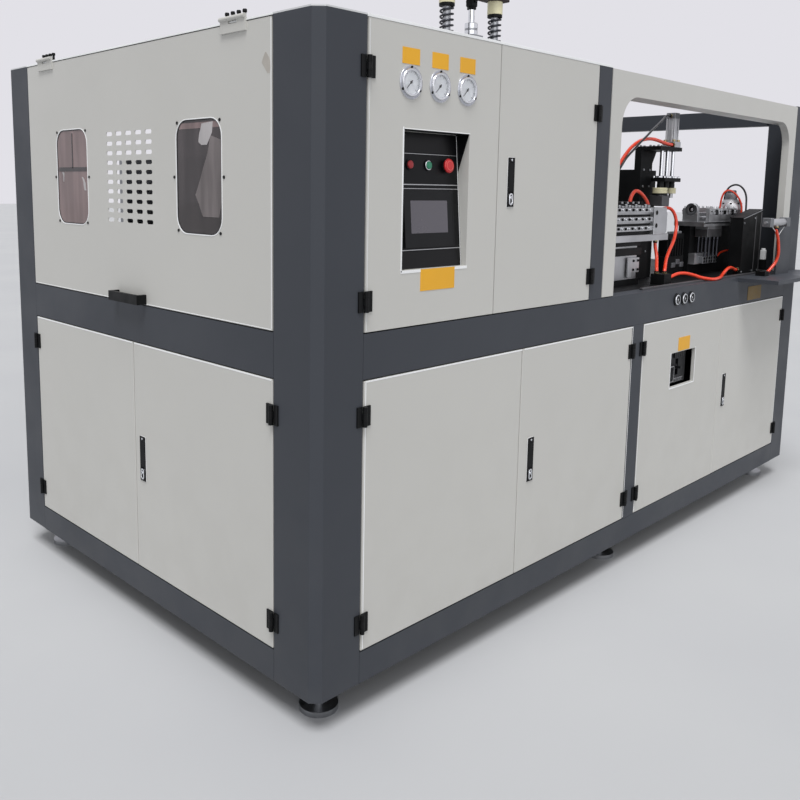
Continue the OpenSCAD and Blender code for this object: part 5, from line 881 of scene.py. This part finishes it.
def make_lift():
    """Moving plate, rods, hubs, discs and head of the lift, with bolts, in their own finishes."""
    body = "transfer_lift"
    rods = [on_bed(u, LIFT_V) for u in LIFT_RODS]
    head_at, nozzle_at = on_bed(LIFT_HEAD_U, LIFT_V), on_bed(LIFT_NOZZLE_U, LIFT_V)
    plate = slab((144, 64, 3), 16, on_bed(2170, LIFT_V, 421), UP, 1)
    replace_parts(piece("lift_plate", plate, BLACK_METAL, body), body)
    piece("lift_rods", [carried(circle(8, 24), [(0.8, 400), (0, 401), (0, 566), (0.8, 567)], at, UP)
            for at in rods], CHROME, body)
    hub = [(0, 394.5), (0, 412), (1, 413), (1, 416), (0, 417), (0, 421.5)]
    piece("lift_hubs", [carried(circle(14, 32), hub, at, UP) for at in rods], BLACK_PART, body)
    disc = [(1.2, 371), (0, 372.2), (0, 382), (1.4, 383), (1.4, 384.5), (0, 385.5), (0, 393.8), (1.2, 395)]
    piece("lift_discs", [carried(circle(r, 40), disc, at, UP) for at, r in ((head_at, 31), (nozzle_at, 21))],
            CREAM, body)
    piece("disc_seal", carried(circle(33, 40), [(0.8, 363), (0, 364), (0, 370), (0.8, 371)], head_at, UP),
          BLACK_PART, body)
    piece("gripping_head", slab((62, 62, 4), 46, on_bed(LIFT_HEAD_U, LIFT_V, 317), UP, 2), GREY_HEAD, body)
    piece("small_nozzle", carried(circle(9, 24), [(0, 352), (0, 371)], nozzle_at, UP), ALLOY, body)
    places = [on_bed(u, v, 437) for u in (2106, 2134, 2152, 2188, 2204, 2236) for v in (188, 236)]
    nuts = [ring(13, 8.4, 437.2, 445, at, UP, 0.8, 6) for at in rods]
    piece("lift_bolts", screw_heads(places, UP, 5.5, 8) + nuts, CHROME, body)
    piece("lift_sockets", screw_sockets(places, UP, 5.5, 8), BLACK_METAL, body)


def make_lift_frame():
    """Bolts of the fixed plate and the column, and collars and rods of the lift's cylinder."""
    top = [on_bed(u, v, 567) for u in (2054, 2084) for v in (196, 232, 276)]
    side = [on_bed(u, 265, z) for u in (2067, 2119) for z in (120, 200, 330, 400, 470)]
    piece("column_bolts", screw_heads(top, UP, 5, 6) + screw_heads(side, FRONT, 5, 4), STEEL)
    at = on_bed(LIFT_CYLINDER_U, LIFT_V)
    ties = [carried(circle(3, 16), [(0, 590), (0, 690)], at + [17.5 * x, 17.5 * y, 0], UP) for x in (-1, 1)
            for y in (-1, 1)]
    rings = [ring(22, 19.5, 684, 688, at, UP, 0.6), ring(21, 19.5, 640, 643, at, UP, 0.4)]
    piece("cylinder_ties", ties + rings, ALLOY)
    piece("cylinder_cap", slab((41.6, 41.6, 5), 24.8, at + [0, 0, 687.8], UP, 1.5), CAST)
    piece("cylinder_screws", [turned([(0, 0), (7, 0), (7, 7), (5, 8.5), (0, 9)], on_bed(u, v, 591.4), UP, 20)
            for u in (2180, 2220) for v in (192, 232)], BRASS)


BLOCK_U, BLOCK_FACE_V, BLOCK_TOP = 1640, 150, 313


def make_slide_block():
    """Dark gaps, bolt rows and a bored end plate on the slide block, a manifold on it, and its leg."""
    piece("slide_gaps", [slab((317, 17.5, 1), 0.8, on_bed(1799, 165.6, z), FRONT, 0.2)
            for z in (208.5, 240, 276.5, 308)], BLACK_METAL)
    places = [on_bed(BLOCK_U + 14 + 27 * k, BLOCK_FACE_V, z) for z in (230, 267, 304) for k in range(11)]
    heads = screw_heads(places, FRONT, 5.5, 4)
    piece("slide_bolts", heads[0::2], CHROME)
    piece("slide_dark_bolts", heads[1::2] + screw_sockets(places, FRONT, 5.5, 4)[0::2], BLACK_METAL)
    piece("slide_end_plate", [
            slab(bevelled(113, 111, 24, 22), 4, on_bed(2014, BLOCK_FACE_V, 258), FRONT, 1.2),
            slab(bevelled(96, 94, 21, 19), 1, on_bed(2012, 146, 258), FRONT, 0.6)], ALLOY)
    piece("slide_bores", [carried(circle(9.5, 28), [(0, 0.6), (0, 1.3), (2.5, 1.3), (3, 0.7)],
            on_bed(1976, 145.6, z), FRONT) for z in (239, 292)], BLACK_METAL)
    top = [on_bed(BLOCK_U + 12 + 26 * k, v, BLOCK_TOP) for k in range(12) for v in (164, 246)]
    piece("rail_nuts", [ring(6.5, 2.5, 0, 7 + 3 * (i % 3), at, UP, 0.8, 6) for i, at in enumerate(top)],
            STEEL)
    rail = [slab((318, 26, 2), 15, on_bed(1799, 206, 312.6), UP, 1)]
    rail += [slab((20, 30, 2), 9, on_bed(BLOCK_U + 30 + 44 * k, 206, 327), UP, 1) for k in range(7)]
    piece("top_rail", rail, BLACK_METAL)
    piece("top_blocks", [slab((17, 20, 3), 9, on_bed(BLOCK_U + 52 + 44 * k, 204, 327), UP, 1.2)
            for k in range(6)], ALLOY)
    piece("leg_band", [slab((224, 8, 1), 30, on_bed(1776, 162, 122), UP, 1),
            slab((190, 10, 2), 16, on_bed(1776, 160, 160), UP, 1)], BLACK_METAL)
    piece("leg_bracket", [slab((60, 60, 2), 5, on_bed(1840, 161, 82), FRONT, 0.8),
            slab((26, 80, 2), 8, on_bed(1792, 161, 74), FRONT, 0.8)], ALLOY)
    piece("leg_bolts", screw_heads([on_bed(u, 155.5, z) for u in (1822, 1858) for z in (64, 100)], FRONT, 5,
            4), BLACK_METAL)


BEAM_MID_V, BEAM_TOP, DOME_U = 221.5, 245, 2877


def make_gripper_beam():
    """Bearing plate, bright edge, nuts and clamps of the beam, and the cast dome with its screws."""
    bearing_at, dome_at = on_bed(2451, BEAM_MID_V, 300), on_bed(DOME_U, BEAM_MID_V)
    piece("bearing_ring", carried(circle(29, 40), [(0, -1.4), (0, 0), (1.2, 1.2), (11, 1.2), (14.3, 0.2),
            (14.3, -1.4)], bearing_at, END, closed=True), STEEL)
    piece("bearing_race", carried(circle(14, 32), [(0, -14), (0, -4), (2, -2), (6, -2), (6, -14)],
            bearing_at, END, closed=True), BLACK_METAL)
    piece("beam_edge", slab((505, 7, 1.5), 1.4, on_bed(2687.5, 150, 240.5), FRONT, 0.4), CHROME)
    row_u = [2806 + 19 * k for k in range(7)]
    nuts = [ring(7.5, 3, BEAM_TOP, 254 + 5 * (k % 2), on_bed(u, 163), UP, 0.8, 6)
            for k, u in enumerate(row_u)]
    nuts += [ring(6.5, 2.6, BEAM_TOP, 256, on_bed(u, 190), UP, 0.8, 6) for u in row_u[:1] + row_u[-2:]]
    piece("beam_nuts", nuts, CHROME)
    piece("beam_clamps", [slab((22, 34, 3), 14, on_bed(2812, v, BEAM_TOP), UP, 1.2) for v in (172, 252)],
            CAST)
    piece("dome_cap", turned([(0, 350), (27, 346), (27, 372), (25, 375), (22, 377), (22, 388), (19, 391),
            (0, 392)], dome_at, UP, 40), CAST)
    skirt = carried(circle(55.8, 56), [(0, 245.2), (0, 296), (2.5, 301), (7, 318), (14, 332), (24, 345),
            (30, 350), (40, 352), (40, 245.2)], dome_at, UP, closed=True)
    piece("dome_casting", skirt, CAST, crease=25)
    around = [math.radians(45 * k + 22) for k in range(8)]
    screw = [(0, 0), (6, 0), (6, 5), (4.6, 6.2), (0, 6.4)]
    piece("dome_screws", [turned(screw, dome_at + [46 * math.cos(a), 46 * math.sin(a), 324], UP, 16)
            for a in around], BLACK_METAL)


def make_jaw_clamps():
    """Ten small blocks above the guide rods of each jaw, in turn long and short, with dark pads and nuts."""
    for body, v, inward in (("front_jaw", 158, 1), ("rear_jaw", 285, -1)):
        axes, blocks, dark = FRONT * [[1], [1], [inward]], [], []
        for k in range(10):
            at, short = on_bed(2514 + 29 * k, v, 288), k % 2
            target = dark if k % 3 == 2 else blocks
            target.append(slab((19, 24 - 6 * short, 2), 5 + 2 * short, at, axes, 1))
            dark.append(slab(hexagon(7), 3, at + [-3, 0, 4], axes, 0.5, 4.8 + 2 * short))
        blocks += [ring(5, 2, 0, 9, on_bed(2508 + 46 * k, v + 8 * inward, 305), UP, 0.6, 6)
                for k in range(7)]
        piece(body + "_clamps", blocks, ALLOY, body)
        piece(body + "_pads", dark, BLACK_METAL, body)


def make_valves():
    """Block and posts under the beam, and a stack of valves with two rows of ports."""
    piece("beam_block", slab((149.6, 60.6, 2), 37, on_bed(2567.5, 187, 175), UP, 1.5), GREY_HEAD)
    post = [(0, 86), (7, 86), (7, 96), (5, 98), (5, 160), (7, 162), (7, 176), (0, 176)]
    piece("beam_posts", [turned(post, on_bed(u, v), UP, 20) for u in (2506, 2543, 2590, 2628)
            for v in (170, 204)], SPRING)
    piece("valve_stack", [slab((46, 40, 2), 34, on_bed(2520 + 52 * k, 192, 52), UP, 1.5) for k in range(3)],
            CAST)
    piece("valve_ports", [turned([(0, 0), (6, 0), (6, 3), (3.5, 3), (3.5, 1), (0, 1)],
            on_bed(2508 + 26 * k, 172, z), FRONT, 18) for k in range(6) for z in (62, 77)], BLACK_METAL)


def make_black_box():
    """Bright strip along the box's slanted top, a paler folded edge, screws, and the valve beside it."""
    rise = math.atan2(38, 212)
    slant = np.array([[math.cos(rise), 0, math.sin(rise)], [-math.sin(rise), 0, math.cos(rise)], [0, -1, 0]])
    lid_axes = np.array([slant[0], UP[1], slant[1]])
    piece("box_strip", slab((217, 6, 2), 1.6, on_bed(2751, 60, 280), slant, 0.5), STEEL)
    piece("box_lid", slab((220, 66, 2), 2, on_bed(2750, 90, 282), lid_axes, 0.5), BLACK_METAL)
    piece("box_folds", [slab((7, 268, 1.5), 1.8, on_bed(2790, 60, 138), FRONT, 0.6),
            slab((10, 286, 1.5), 1.8, on_bed(2850, 60, 146), FRONT, 0.6)], GREY_HEAD)
    piece("small_valve", [slab((22, 22, 2), 46, on_bed(2946, 75, 58), UP, 1.5),
            ring(9, 4, 104, 112, on_bed(2946, 75), UP, 1, 20)], WHITE_TRIM_AND_HIGHLIGHT)
    piece("valve_foot", [slab((26, 28, 3), 58, on_bed(2946, 75), UP, 2),
            slab((70, 40, 3), 10, on_bed(2930, 78), UP, 2)], BLACK_METAL)
    places = ((2658, 14), (2658, 240), (2775, 14), (2775, 262), (2840, 14))
    piece("box_screws", screw_heads([on_bed(u, 60, z) for u, z in places], FRONT, 4.5, 3), STEEL)


def make_shelf_fittings():
    """Caps, tube and stays of the small cylinder at the shelf."""
    along = np.array([UP[1], UP[2], UP[0]])
    piece("side_caps", [slab((38, 41, 3), 36, on_bed(u, -60, 248), along, 1.5) for u in (2602, 2800)], CAST)
    piece("side_tube", carried(circle(16.4, 32), [(0, 36), (0, 198)], on_bed(2602, -60, 248), along), ALLOY)
    joint = on_bed(2757, -58, 187)
    stays = [tube(np.linspace(on_bed(u, -60, 232), joint, 6), 1.6, 8) for u in (2664, 2826)]
    stays.append(tube(np.linspace(joint, on_bed(2790, -52, 150), 6), 2.6, 8))
    piece("side_stays", stays, WHITE_TRIM_AND_HIGHLIGHT)


def make_dark_machinery():
    """The blackened carriage behind the lift's hoses: a stepped block with ribs, clamps and screws."""
    blocks = [slab((w, d, r), h, on_bed(u, 262, z), UP, 2) for w, d, r, h, u, z in (
        (150, 60, 4, 92, 2350, 0), (132, 46, 3, 76, 2344, 92), (150, 54, 3, 24, 2350, 168))]
    blocks += [slab((9, 56, 1.5), 76, on_bed(2290 + 24 * k, 258, 92), UP, 1) for k in range(6)]
    piece("carriage", blocks, BLACK_METAL)
    details = [slab((34, 20, 2), 22, on_bed(2320 + 40 * k, 236, 40 + 14 * (k % 2)), UP, 1.5)
            for k in range(3)]
    details += [ring(7, 3, 192, 202, on_bed(2296 + 22 * k, 246), UP, 0.8, 6) for k in range(6)]
    piece("carriage_fittings", details, CAST)
    piece("bed_rail", slab((1240, 16, 2), 10, on_bed(2300, 40), UP, 1.5), GREY_HEAD)


# Surroundings: floor, light and background

FLOOR_REACH, ROOM_STRENGTH = 60, 0.36

# Suns: name, turn and rise in degrees, strength, width of the disc in degrees
SUNS = (("key", -50, 65, 2.6, 26), ("fill", -32, 20, 0.78, 60))


def make_floor():
    """A pale floor that takes the shadow: one flat square far wider than the view."""
    mesh = bpy.data.meshes.new("floor")
    square = [(-1, -1), (1, -1), (1, 1), (-1, 1)]
    mesh.from_pydata([(x * FLOOR_REACH, y * FLOOR_REACH, 0) for x, y in square], [], [(0, 1, 2, 3)])
    floor = bpy.data.objects.new("floor", mesh)
    bpy.context.collection.objects.link(floor)
    f = Finish("pale_floor", Roughness=0.7, Specular_IOR_Level=0.2)
    f.colour(f.mixed(f.ramp(f.noise(0.8, 3), 0, 1), srgb(184, 185, 188), srgb(189, 190, 192)))
    floor.data.materials.append(f.material)


def make_background():
    """A soft even room light; the view, gloss and glass show a plain pale background instead."""
    world = bpy.data.worlds.new("world")
    bpy.context.scene.world = world
    world.use_nodes = True
    nodes, link = world.node_tree.nodes, world.node_tree.links.new
    nodes.clear()
    rays, seen, through, lit, shown, mix, out = (nodes.new("ShaderNode" + kind) for kind in (
        "LightPath", "Math", "Math", "Background", "Background", "MixShader", "OutputWorld"))
    seen.operation = through.operation = "MAXIMUM"
    for node, colour, strength in ((lit, (0.97, 0.985, 1, 1), ROOM_STRENGTH),
            (shown, srgb(226, 225, 231), 1)):
        node.inputs["Color"].default_value, node.inputs["Strength"].default_value = colour, strength
    for socket, target in ((rays.outputs["Is Camera Ray"], seen.inputs[0]),
            (through.outputs[0], seen.inputs[1]), (rays.outputs["Is Glossy Ray"], through.inputs[0]),
            (rays.outputs["Is Transmission Ray"], through.inputs[1]), (seen.outputs[0], mix.inputs[0]),
            (lit.outputs[0], mix.inputs[1]), (shown.outputs[0], mix.inputs[2]),
            (mix.outputs[0], out.inputs["Surface"])):
        link(socket, target)


def make_lights():
    """Soft suns from the front, under the plain view transform."""
    bpy.context.scene.view_settings.view_transform = "Standard"
    for name, turn, rise, strength, size in SUNS:
        data = bpy.data.lights.new(name, "SUN")
        data.energy, data.angle = strength, math.radians(size)
        lamp = bpy.data.objects.new(name, data)
        lamp.rotation_euler = (math.radians(90 - rise), 0, math.radians(turn))
        bpy.context.collection.objects.link(lamp)


for make in (make_gauges, make_panel, make_locks, make_roof_edge_highlight, make_yellow_plates, make_panes, make_bend_highlights,
        make_rail_buttons, make_window_head, make_breaker, make_stretch_unit, make_lift, make_lift_frame,
        make_slide_block, make_gripper_beam, make_jaw_clamps, make_valves, make_black_box,
        make_shelf_fittings, make_dark_machinery, make_floor, make_background, make_lights):
    make()
